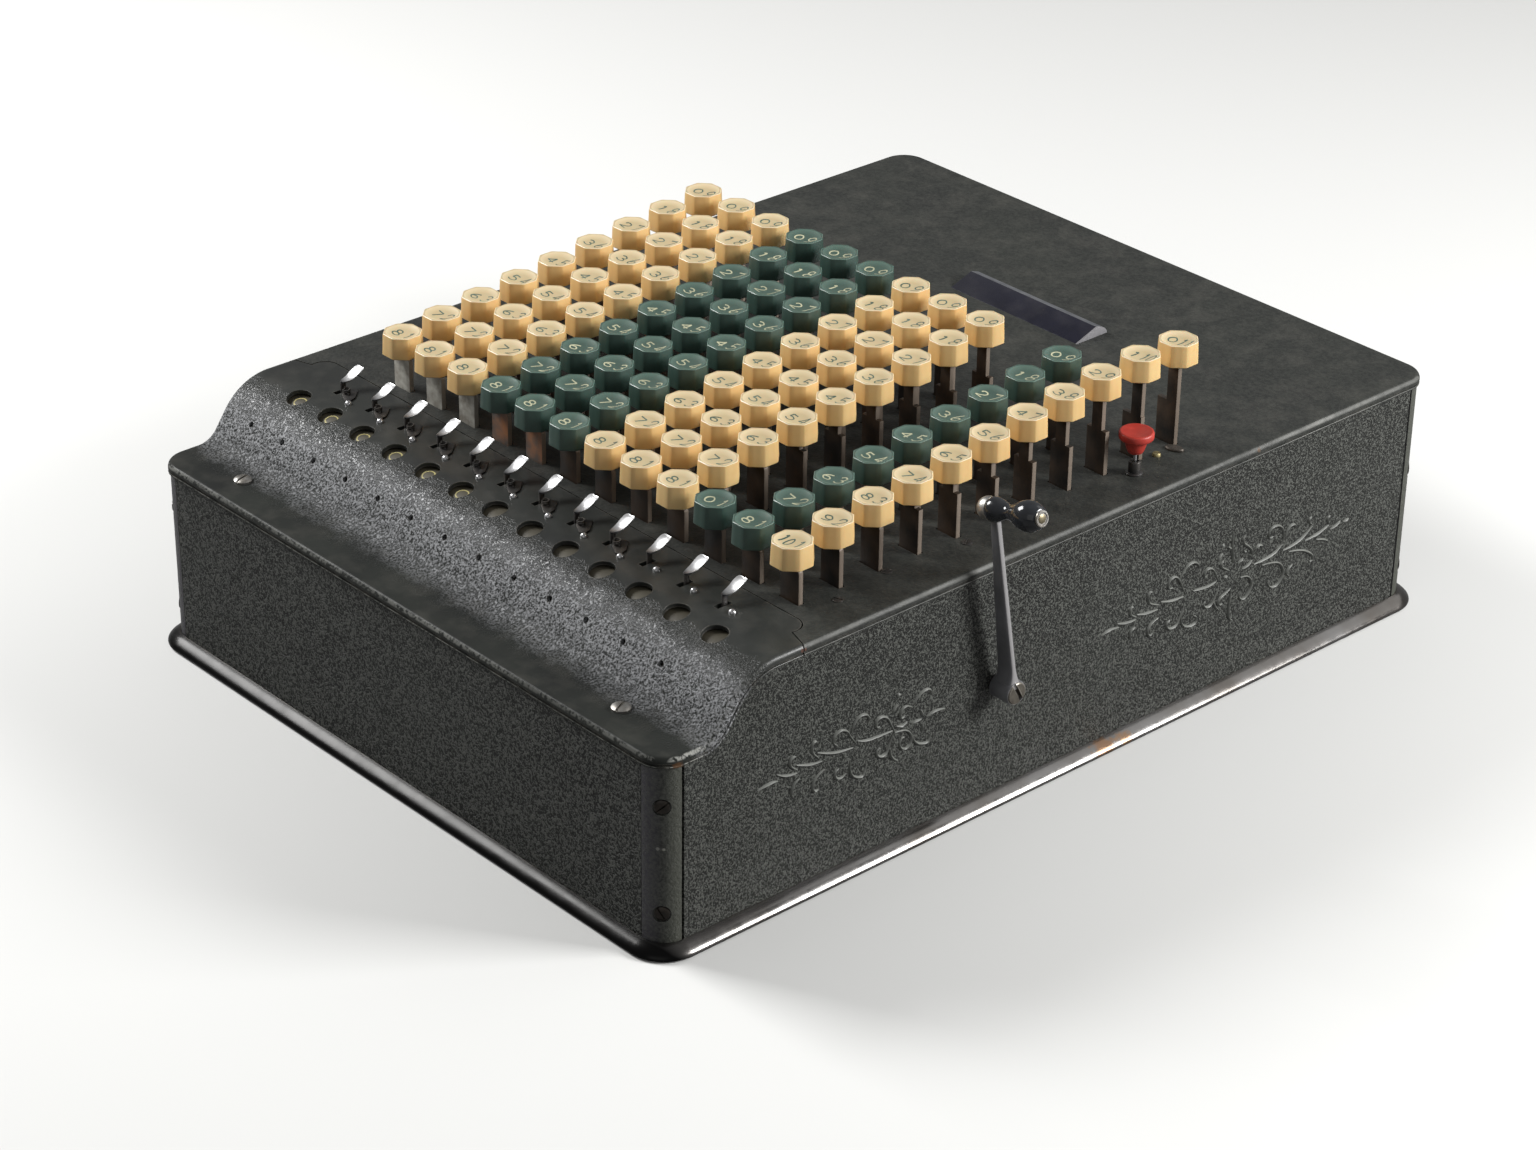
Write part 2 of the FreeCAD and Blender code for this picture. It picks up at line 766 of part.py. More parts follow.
def build_keys(master):
    nodes = []
    for column, rows in enumerate(ROWS):
        caps = []
        for row in range(rows):
            cap = master.copy()
            cap.translate(key_top(column, row))
            caps.append(cap)
        stems = [stem_solid(column, row) for row in range(rows)]
        nodes.append(shape_feature(f"key_caps_{column + 1:02d}", Part.makeCompound(caps)))
        nodes.append(shape_feature(f"key_stems_{column + 1:02d}", Part.makeCompound(stems)))
    return nodes


# Small levers that stand in front of the first keys
def lever_solid():
    pivot_y, pivot_z = lever_pivot()
    hub, neck, thick = size("lever_hub"), size("lever_neck") / 2, size("lever_thickness")
    neck_y = pivot_y - size("lever_reach")
    top = size("tab_height") + 0.3
    blade = polygon([(neck_y - neck, top), (neck_y - neck, pivot_z + 7), (pivot_y - hub, pivot_z + 1),
                     (pivot_y - 0.5 * hub, pivot_z - hub), (pivot_y + 0.8 * hub, pivot_z - 0.8 * hub),
                     (pivot_y + hub, pivot_z + 1), (neck_y + neck, pivot_z + 9), (neck_y + neck, top)])
    bore = polygon_hole((pivot_y, pivot_z), size("lever_rod_radius") + size("running_gap"), 6)
    plate = slab([blade, bore], -thick / 2, thick)
    tip, length, rise = neck_y - neck, size("tab_length"), size("tab_rise")
    stations = [
        (0.0, size("tab_tip_width"), 0.8, 0.0),
        (0.8, size("tab_width"), 1.0, 0.5),
        (1.0, size("tab_width") * 0.6, 0.7, 1.0),
    ]
    rings = []
    for share, width, thickness, lift in stations:
        y, z = tip + share * length, size("tab_height") + lift * rise
        height = z + thickness * size("tab_thickness")
        rings.append([Vector(-width / 2, y, z), Vector(width / 2, y, z),
                      Vector(width / 2, y, height), Vector(-width / 2, y, height)])
    return plate.fuse(flat_loft(rings)).removeSplitter()


def flat_loft(rings):
    """Solid through rings of four corners each, with flat faces between them."""
    faces = []
    for low, high in zip(rings, rings[1:]):
        for k in range(4):
            corners = [low[k - 1], low[k], high[k], high[k - 1]]
            faces.append(Part.Face(Part.makePolygon(corners + corners[:1])))
    for end in (rings[0], rings[-1]):
        faces.append(Part.Face(Part.makePolygon(end + end[:1])))
    solid = Part.makeSolid(Part.makeShell(faces))
    if solid.Volume < 0:
        solid.reverse()
    return solid


def build_levers():
    master = lever_solid()
    levers = []
    for column in range(len(ROWS)):
        lever = master.copy()
        lever.translate(Vector(lever_x(column), 0, 0))
        levers.append(shape_feature(f"cutoff_lever_{column + 1:02d}", lever))
    return levers


# Numeral wheels and what carries the works inside
def build_wheels():
    """Ten-sided numeral wheels, one flat for each digit, on a square shaft with round journals."""
    y, z = wheel_axis()
    lengthways = Rotation(Vector(0, 1, 0), 90)
    count, width = int(size("wheel_count")), size("wheel_width")
    start, end = wheel_x(0) - width / 2, wheel_x(count - 1) + width / 2
    side = size("shaft_side")
    square = doc.addObject("Part::Box", "register_square")
    square.Length = end - start
    square.setExpression("Width", cell("shaft_side"))
    square.setExpression("Height", cell("shaft_side"))
    square.Placement = Placement(Vector(start, y - side / 2, z - side / 2), Rotation())
    pieces = [square]
    outer = frame_inner + size("frame_thickness")
    for label, low, high in (("left_journal", -outer, start), ("right_journal", end, outer)):
        journal = doc.addObject("Part::Cylinder", label)
        journal.setExpression("Radius", cell("register_radius"))
        journal.Height = high - low
        journal.Placement = Placement(Vector(low, y, z), lengthways)
        pieces.append(journal)
    shaft = doc.addObject("Part::MultiFuse", "register_shaft")
    shaft.Shapes = pieces
    turn = 90 + size("window_tilt")
    rim = polygon([polar((y, z), size("wheel_radius"), turn + (k + 0.5) * 36) for k in range(10)])
    bore = rectangle(y - side / 2, z - side / 2, y + side / 2, z + side / 2)
    wheels = [slab([rim, bore], wheel_x(i) - width / 2, width) for i in range(count)]
    group = doc.addObject("Part::Compound", "numeral_wheels")
    group.Links = [shaft, shape_feature("wheels", Part.makeCompound(wheels))]
    return group


def crank_axis():
    return (front + size("crank_row"), size("crank_height"))


def build_side_frames():
    start, top = front + size("frame_front"), size("frame_top")
    end = half_depth - size("frame_rear")
    outline = polygon([(start, base_top), (end, base_top), (end, top - 14), (end - 14, top),
                       (start + 9, top), (start, top - 14)])
    frames = []
    for side in (-1, 1):
        holes = [polygon_hole(wheel_axis(), size("register_radius") + size("running_gap"), 12)]
        if side > 0:
            bore = size("crank_shaft_radius") + size("running_gap")
            holes.append(polygon_hole(crank_axis(), bore, 12))
        body = new_body(f"side_frame_{'left' if side < 0 else 'right'}")
        offset = frame_place
        if side < 0:
            offset = f"-{frame_place} - {cell('frame_thickness')}"
        sketch = draw(body, body.Label + "_outline", "YZ_Plane", [outline] + holes, offset)
        pad(body, body.Label + "_pad", sketch, cell("frame_thickness"))
        frames.append(body)
    group = doc.addObject("Part::Compound", "side_frames")
    group.Links = frames
    return group


def actuator_pivot():
    return (half_depth - size("actuator_pivot_row"), size("actuator_pivot_height"))


def build_rods():
    lengthways = Rotation(Vector(0, 1, 0), 90)
    rod = doc.addObject("Part::Cylinder", "lever_rod")
    rod.setExpression("Radius", cell("lever_rod_radius"))
    rod.setExpression("Height", f"2 * {frame_place}")
    rod.Placement = Placement(Vector(-frame_inner, *lever_pivot()), lengthways)
    fulcrum = doc.addObject("Part::Prism", "actuator_rod")
    fulcrum.Polygon = 8
    fulcrum.setExpression("Circumradius", cell("rod_radius"))
    fulcrum.setExpression("Height", f"2 * {frame_place}")
    fulcrum.Placement = Placement(Vector(-frame_inner, *actuator_pivot()), lengthways)
    parts = [rod, fulcrum]
    bars = {"front_tie": (front + size("frame_front") + 3, base_top + 8),
            "rear_tie": (half_depth - size("frame_rear") - 10, size("rear_tie_height"))}
    for label, (y, z) in bars.items():
        bar = doc.addObject("Part::Box", label)
        bar.setExpression("Length", f"2 * {frame_place}")
        bar.setExpression("Width", cell("tie_bar"))
        bar.setExpression("Height", cell("tie_bar"))
        bar.Placement = Placement(Vector(-frame_inner, y, z), Rotation())
        parts.append(bar)
    group = doc.addObject("Part::Compound", "frame_rods")
    group.Links = parts
    return group


def build_key_guide():
    body = new_body("key_guide")
    margin = 6.0
    rear = row_y(max(ROWS) - 1) + margin
    outlines = [rectangle(-frame_inner, row_y(0) - margin, frame_inner, rear)]
    gap = size("slot_clearance")
    half_x, half_y = size("stem_width") / 2 + gap, size("stem_thickness") / 2 + gap
    for column, rows in enumerate(ROWS):
        x = column_x(column)
        outlines.append(rectangle(x - half_x, row_y(0) - half_y, x + half_x, row_y(rows - 1) + half_y))
    sketch = draw(body, "guide_outline", "XY_Plane", outlines, cell("guide_height"))
    pad(body, "guide_pad", sketch, cell("guide_thickness"))
    return body


def build_actuators():
    """One rocking bar under each column, forked on its rod, with an arm up to its numeral wheel."""
    y, z = actuator_pivot()
    thick = size("actuator_thickness")
    fork = size("rod_radius") + size("running_gap")
    top = z + size("actuator_height") / 2
    low = z - size("actuator_height") / 2
    front_y = row_y(0)
    wheel_y, wheel_z = wheel_axis()
    arm_top = wheel_z - size("wheel_radius") - 4
    bar = polygon([(y + 5, low), (y + 5, z - fork), (y - fork, z - fork), (y - fork, z + fork),
                   (y + 5, z + fork), (y + 5, top), (front_y, top + 3), (wheel_y + 17, arm_top),
                   (wheel_y + 11, arm_top), (front_y - 8, low + 2)])
    bars = [slab([bar], column_x(column) - thick / 2, thick) for column in range(len(ROWS))]
    return shape_feature("column_levers", Part.makeCompound(bars))


# Hand lever: shaft through the right panel, tapered arm with a ball, turned grip on a pin
def hub_start():
    return edge_x + size("crank_gap")


def ball_centre():
    foot = Vector(hub_start() + size("arm_centre"), *crank_axis())
    lean = Vector(0, -size("arm_lean"), size("arm_height"))
    return foot + lean - Vector(size("ball_offset"), 0, 0)


def grip_direction():
    tilt = math.radians(size("grip_tilt"))
    return Vector(math.cos(tilt), 0, math.sin(tilt))


def arm_section(x, width, depth, place):
    """A flat octagon across the arm: width along X, depth along Y."""
    cut = 0.3 * min(width, depth)
    half_w, half_d = width / 2, depth / 2
    corners = [(half_w, half_d - cut), (half_w - cut, half_d), (-half_w + cut, half_d),
               (-half_w, half_d - cut), (-half_w, -half_d + cut), (-half_w + cut, -half_d),
               (half_w - cut, -half_d), (half_w, -half_d + cut)]
    points = [Vector(x + cx, place[0] + cy, place[1]) for cx, cy in corners]
    return Part.makePolygon(points + points[:1])


def build_crank_arm():
    y, z = crank_axis()
    start = hub_start()
    length = size("crank_hub_length")
    hub = faceted(16, [(size("crank_hub_radius"), 0), (size("crank_hub_radius"), length)])
    bore = circumscribed(size("crank_shaft_radius") + size("press_gap"), 16)
    socket = faceted(16, [(bore, -1), (bore, length + 1)])
    for piece in (hub, socket):
        piece.Placement = Placement(Vector(start, y, z), Rotation(Vector(0, 1, 0), 90))
    x = start + size("arm_centre")
    lean, height = size("arm_lean"), size("arm_height")
    foot = arm_section(x, size("arm_foot_width"), size("arm_foot_depth"), (y, z))
    tip = arm_section(x, size("arm_tip_width"), size("arm_tip_depth"), (y - lean, z + height))
    arm = Part.makeLoft([foot, tip], True, True)
    radius = size("ball_radius")
    ball = faceted(16, [(radius * math.cos(math.radians(t)), radius * math.sin(math.radians(t)))
                        for t in (-80, -55, -28, 0, 28, 55, 80)])
    ball.Placement = grip_frame()
    return shape_feature("crank_arm", hub.fuse([arm, ball]).cut(socket).removeSplitter())


def build_crank_shaft():
    y, z = crank_axis()
    inner = frame_inner - 4
    shaft = doc.addObject("Part::Cylinder", "crank_shaft")
    shaft.setExpression("Radius", cell("crank_shaft_radius"))
    shaft.Height = hub_start() + size("crank_hub_length") - 0.6 - inner
    shaft.Placement = Placement(Vector(inner, y, z), Rotation(Vector(0, 1, 0), 90))
    return shaft


def grip_frame():
    """Origin in the middle of the ball, Z along the grip's pin."""
    return Placement(ball_centre(), Rotation(Vector(0, 0, 1), grip_direction()))


def build_grip():
    """Vase-shaped turned grip: flared foot, narrow neck, full bulb and a small flat end."""
    start, length = size("grip_start"), size("grip_length")
    bore = size("grip_pin_radius") + size("running_gap")
    shares = [(0.0, 3.5), (0.05, 4.05), (0.16, 3.6), (0.32, 2.55), (0.5, 3.5), (0.66, 5.2),
              (0.76, 5.45), (0.89, 4.6), (1.0, 2.6)]
    stations = [(circumscribed(bore, 16), start)]
    stations += [(radius, start + share * length) for share, radius in shares]
    stations.append((circumscribed(bore, 16), start + length))
    grip = shape_feature("crank_grip", faceted(16, stations, tube=True))
    grip.Placement = grip_frame()
    return grip


def build_grip_pin():
    """Round pin that the grip turns on, seated on the ball, with a flat head at its end."""
    end = size("grip_start") + size("grip_length") + 2 * size("running_gap")
    head = size("grip_pin_head")
    seat = size("ball_radius") * math.sin(math.radians(80))
    shank = Part.makeCylinder(size("grip_pin_radius"), end - seat, Vector(0, 0, seat))
    disc = faceted(16, [(head, end), (0.8 * head, end + 0.8)])
    feature = shape_feature("grip_pin", shank.fuse(disc))
    feature.Placement = grip_frame()
    return feature


# Release button beside the last keys, on its stem, in its collar
def button_place():
    return (half_width - size("button_side"), first_row_y + size("button_row"))


def at_button(label, stations, tube=False):
    feature = shape_feature(label, faceted(16, stations, tube))
    feature.Placement = Placement(Vector(*button_place(), 0), Rotation())
    return feature


def build_button():
    radius, cup = size("button_radius"), size("button_cup_radius")
    foot, top = size("button_cup_foot"), size("button_top")
    under = top - size("button_disc")
    return at_button("release_button", [
        (0.6 * cup, foot), (0.92 * cup, foot + 1.4), (cup, under), (0.96 * radius, under + 1.2),
        (radius, top - 0.8), (0.92 * radius, top), (0, top - 0.8)])


def build_button_stem():
    stem = size("button_stem_radius")
    return at_button("button_stem", [(stem, plate_under - 8), (stem, size("button_cup_foot"))])


def build_collar():
    bore = circumscribed(size("button_stem_radius") + size("running_gap"), 16)
    radius, top = size("collar_radius"), plate_top + size("collar_height")
    return at_button("button_collar", [
        (bore, plate_top), (radius + 0.7, plate_top), (radius + 0.7, plate_top + 0.8),
        (radius, plate_top + 0.9), (radius, top - 0.4), (radius - 0.4, top), (bore, top)], tube=True)


def build_all():
    nodes = [
        build_base(),
        build_trim(),
        build_felt(),
        build_end_panel("front_panel", -1),
        build_end_panel("rear_panel", 1),
        build_side_panel("side_panel_left", -1),
        build_side_panel("side_panel_right", 1),
        build_posts(),
        build_key_plate(),
        build_front_cover(),
        build_name_bar(),
        build_collar(),
        build_button(),
        build_button_stem(),
        build_crank_arm(),
        build_crank_shaft(),
        build_grip(),
        build_grip_pin(),
        build_wheels(),
        build_side_frames(),
        build_rods(),
        build_key_guide(),
        build_actuators(),
    ]
    nodes += build_keys(build_cap_master())
    nodes += build_levers()
    return nodes


def check_and_write(nodes):
    doc.recompute()
    broken = [o.Label for o in doc.Objects if "Invalid" in o.State or "Error" in o.State]
    for node in nodes:
        if node.Shape.isNull() or not node.Shape.isValid():
            broken.append(node.Label)
    if broken:
        raise RuntimeError("failed objects: " + ", ".join(broken))
    for node in nodes:
        node.Shape.exportStep(f"parts/{node.Label}.step")
    print(len(nodes), "nodes written")


check_and_write(build_all())
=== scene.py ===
import math

import bmesh
import bpy
from mathutils import Matrix, Vector


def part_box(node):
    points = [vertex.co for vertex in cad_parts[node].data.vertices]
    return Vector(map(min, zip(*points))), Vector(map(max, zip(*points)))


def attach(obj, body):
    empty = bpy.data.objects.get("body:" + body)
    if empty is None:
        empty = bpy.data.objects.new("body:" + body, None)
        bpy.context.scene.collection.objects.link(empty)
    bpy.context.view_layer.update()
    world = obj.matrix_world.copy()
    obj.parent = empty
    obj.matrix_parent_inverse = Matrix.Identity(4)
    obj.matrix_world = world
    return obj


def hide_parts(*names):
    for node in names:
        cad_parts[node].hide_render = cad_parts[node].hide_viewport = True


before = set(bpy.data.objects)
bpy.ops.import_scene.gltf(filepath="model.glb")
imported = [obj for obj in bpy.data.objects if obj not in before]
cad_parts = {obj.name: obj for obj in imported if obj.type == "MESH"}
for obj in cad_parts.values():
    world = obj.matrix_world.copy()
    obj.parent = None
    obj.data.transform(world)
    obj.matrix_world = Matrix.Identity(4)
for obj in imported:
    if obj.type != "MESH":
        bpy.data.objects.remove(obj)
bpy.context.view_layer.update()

mm = 0.001

# The machine's main measures in mm, the same as the solids have
machine = {
    "halfWidth": 139.8, "halfDepth": 186.0, "cornerRadius": 9.6,
    "edgeX": 140.6, "edgeY": 186.8, "edgeCorner": 10.4, "edgeHeight": 4.0,
    "plateTop": 96.0, "plateThickness": 1.6, "lipTop": 75.0,
    "crestY": -137.0, "crestRadius": 24.0, "slopeAngle": 55.0, "sweepRadius": 9.5,
    "seamY": -116.0, "buttonX": 125.5, "buttonY": 43.3,
    "columnX": -94.4, "columnPitch": 19.05, "rowY": -108.7, "rowPitch": 17.94,
    "keyTop": 118.3, "rowRise": 1.99,
    "rows": [9, 9, 9, 9, 9, 9, 9, 9, 9, 1, 9, 11],
    "greenColumns": [3, 4, 5, 9, 10],
}


# Making meshes
def loft(rings, capStart=True, capEnd=True, wrap=False):
    # rings of points joined by quads; a ring of one point is the tip of a fan
    points, faces, index = [], [], []
    for ring in rings:
        index.append(range(len(points), len(points) + len(ring)))
        points.extend(ring)
    pairs = list(zip(index, index[1:]))
    if wrap:
        pairs.append((index[-1], index[0]))
    sides = max(len(ring) for ring in rings)
    for low, high in pairs:
        for k in range(sides):
            n = (k + 1) % sides
            corners = (low[k % len(low)], low[n % len(low)], high[n % len(high)], high[k % len(high)])
            face = list(dict.fromkeys(corners))
            if len(face) > 2:
                faces.append(face)
    if not wrap:
        if capStart and len(rings[0]) > 2:
            faces.append(list(index[0])[::-1])
        if capEnd and len(rings[-1]) > 2:
            faces.append(list(index[-1]))
    return points, faces


def circle(radius, height, sides):
    if radius == 0:
        return [(0, 0, height)]
    turn = 2 * math.pi / sides
    return [(radius * math.cos(k * turn), radius * math.sin(k * turn), height) for k in range(sides)]


def turned(stations, sides=32, wrap=False):
    # a lathe form about Z from (radius, height) pairs
    return loft([circle(radius, height, sides) for radius, height in stations], wrap=wrap)


def moved(shape, place=(0, 0, 0), axis=None, spin=0.0):
    # shape set down with its own Z along axis
    turn = Matrix.Rotation(spin, 4, "Z")
    if axis is not None:
        turn = Vector(axis).to_track_quat("Z", "Y").to_matrix().to_4x4() @ turn
    matrix = Matrix.Translation(Vector(place)) @ turn
    return [tuple(matrix @ Vector(p)) for p in shape[0]], shape[1]


def prism(outline, low, high):
    # a plan outline of (x, y) pushed up from low to high
    return loft([[(x, y, low) for x, y in outline], [(x, y, high) for x, y in outline]])


def block(x0, y0, z0, x1, y1, z1):
    return prism([(x0, y0), (x1, y0), (x1, y1), (x0, y1)], z0, z1)


def drill(radius, depth, sides):
    # a round cutter that reaches depth to both sides of its place
    return turned([(radius, -depth), (radius, depth)], sides)


def arcPoints(centre, radius, start, end, steps):
    angles = [math.radians(start + (end - start) * k / steps) for k in range(steps + 1)]
    return [(centre[0] + radius * math.cos(a), centre[1] + radius * math.sin(a)) for a in angles]


def smoothLine(points, steps=6):
    # a soft curve through the given points
    out = []
    last = len(points) - 1
    for i in range(last):
        p0, p1, p2, p3 = points[max(i - 1, 0)], points[i], points[i + 1], points[min(i + 2, last)]
        for k in range(steps):
            t = k / steps
            point = []
            for a, b, c, d in zip(p0, p1, p2, p3):
                bend, twist = 2 * a - 5 * b + 4 * c - d, 3 * b - a - 3 * c + d
                point.append(0.5 * (2 * b + (c - a) * t + bend * t * t + twist * t**3))
            out.append(tuple(point))
    out.append(tuple(points[last]))
    return out


def fillMesh(mesh, shapes, sharp):
    work = bmesh.new()
    for points, faces in shapes:
        verts = [work.verts.new((x * mm, y * mm, z * mm)) for x, y, z in points]
        for face in faces:
            work.faces.new([verts[i] for i in face])
    bmesh.ops.recalc_face_normals(work, faces=work.faces)
    for face in work.faces:
        face.smooth = True
    work.to_mesh(mesh)
    work.free()
    mesh.set_sharp_from_angle(angle=math.radians(sharp))


def addPiece(name, shapes, finish, body, replaced=(), sharp=28, bevel=0.0):
    mesh = bpy.data.meshes.new(name)
    fillMesh(mesh, shapes, sharp)
    piece = bpy.data.objects.new(name, mesh)
    bpy.context.scene.collection.objects.link(piece)
    mesh.materials.append(finish)
    if bevel:
        softenEdges(piece, bevel, sharp)
    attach(piece, body)
    if replaced:
        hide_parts(*replaced)
    return piece


def applyModifiers(piece, sharp):
    shown = piece.evaluated_get(bpy.context.evaluated_depsgraph_get())
    mesh = bpy.data.meshes.new_from_object(shown)
    piece.modifiers.clear()
    old, piece.data = piece.data, mesh
    bpy.data.meshes.remove(old)
    mesh.name = piece.name
    for face in mesh.polygons:
        face.use_smooth = True
    mesh.set_sharp_from_angle(angle=math.radians(sharp))


def softenEdges(piece, width, sharp, least=40):
    # edges that turn by less than least degrees stay as they are
    soften = piece.modifiers.new("soften", "BEVEL")
    soften.width = width * mm
    soften.segments = 2
    soften.limit_method = "ANGLE"
    soften.angle_limit = math.radians(least)
    applyModifiers(piece, sharp)


def carve(piece, shapes, sharp=28):
    mesh = bpy.data.meshes.new("cutter")
    fillMesh(mesh, shapes, sharp)
    cutter = bpy.data.objects.new("cutter", mesh)
    bpy.context.scene.collection.objects.link(cutter)
    cut = piece.modifiers.new("cut", "BOOLEAN")
    cut.operation = "DIFFERENCE"
    cut.solver = "EXACT"
    cut.object = cutter
    applyModifiers(piece, sharp)
    bpy.data.objects.remove(cutter)
    bpy.data.meshes.remove(mesh)


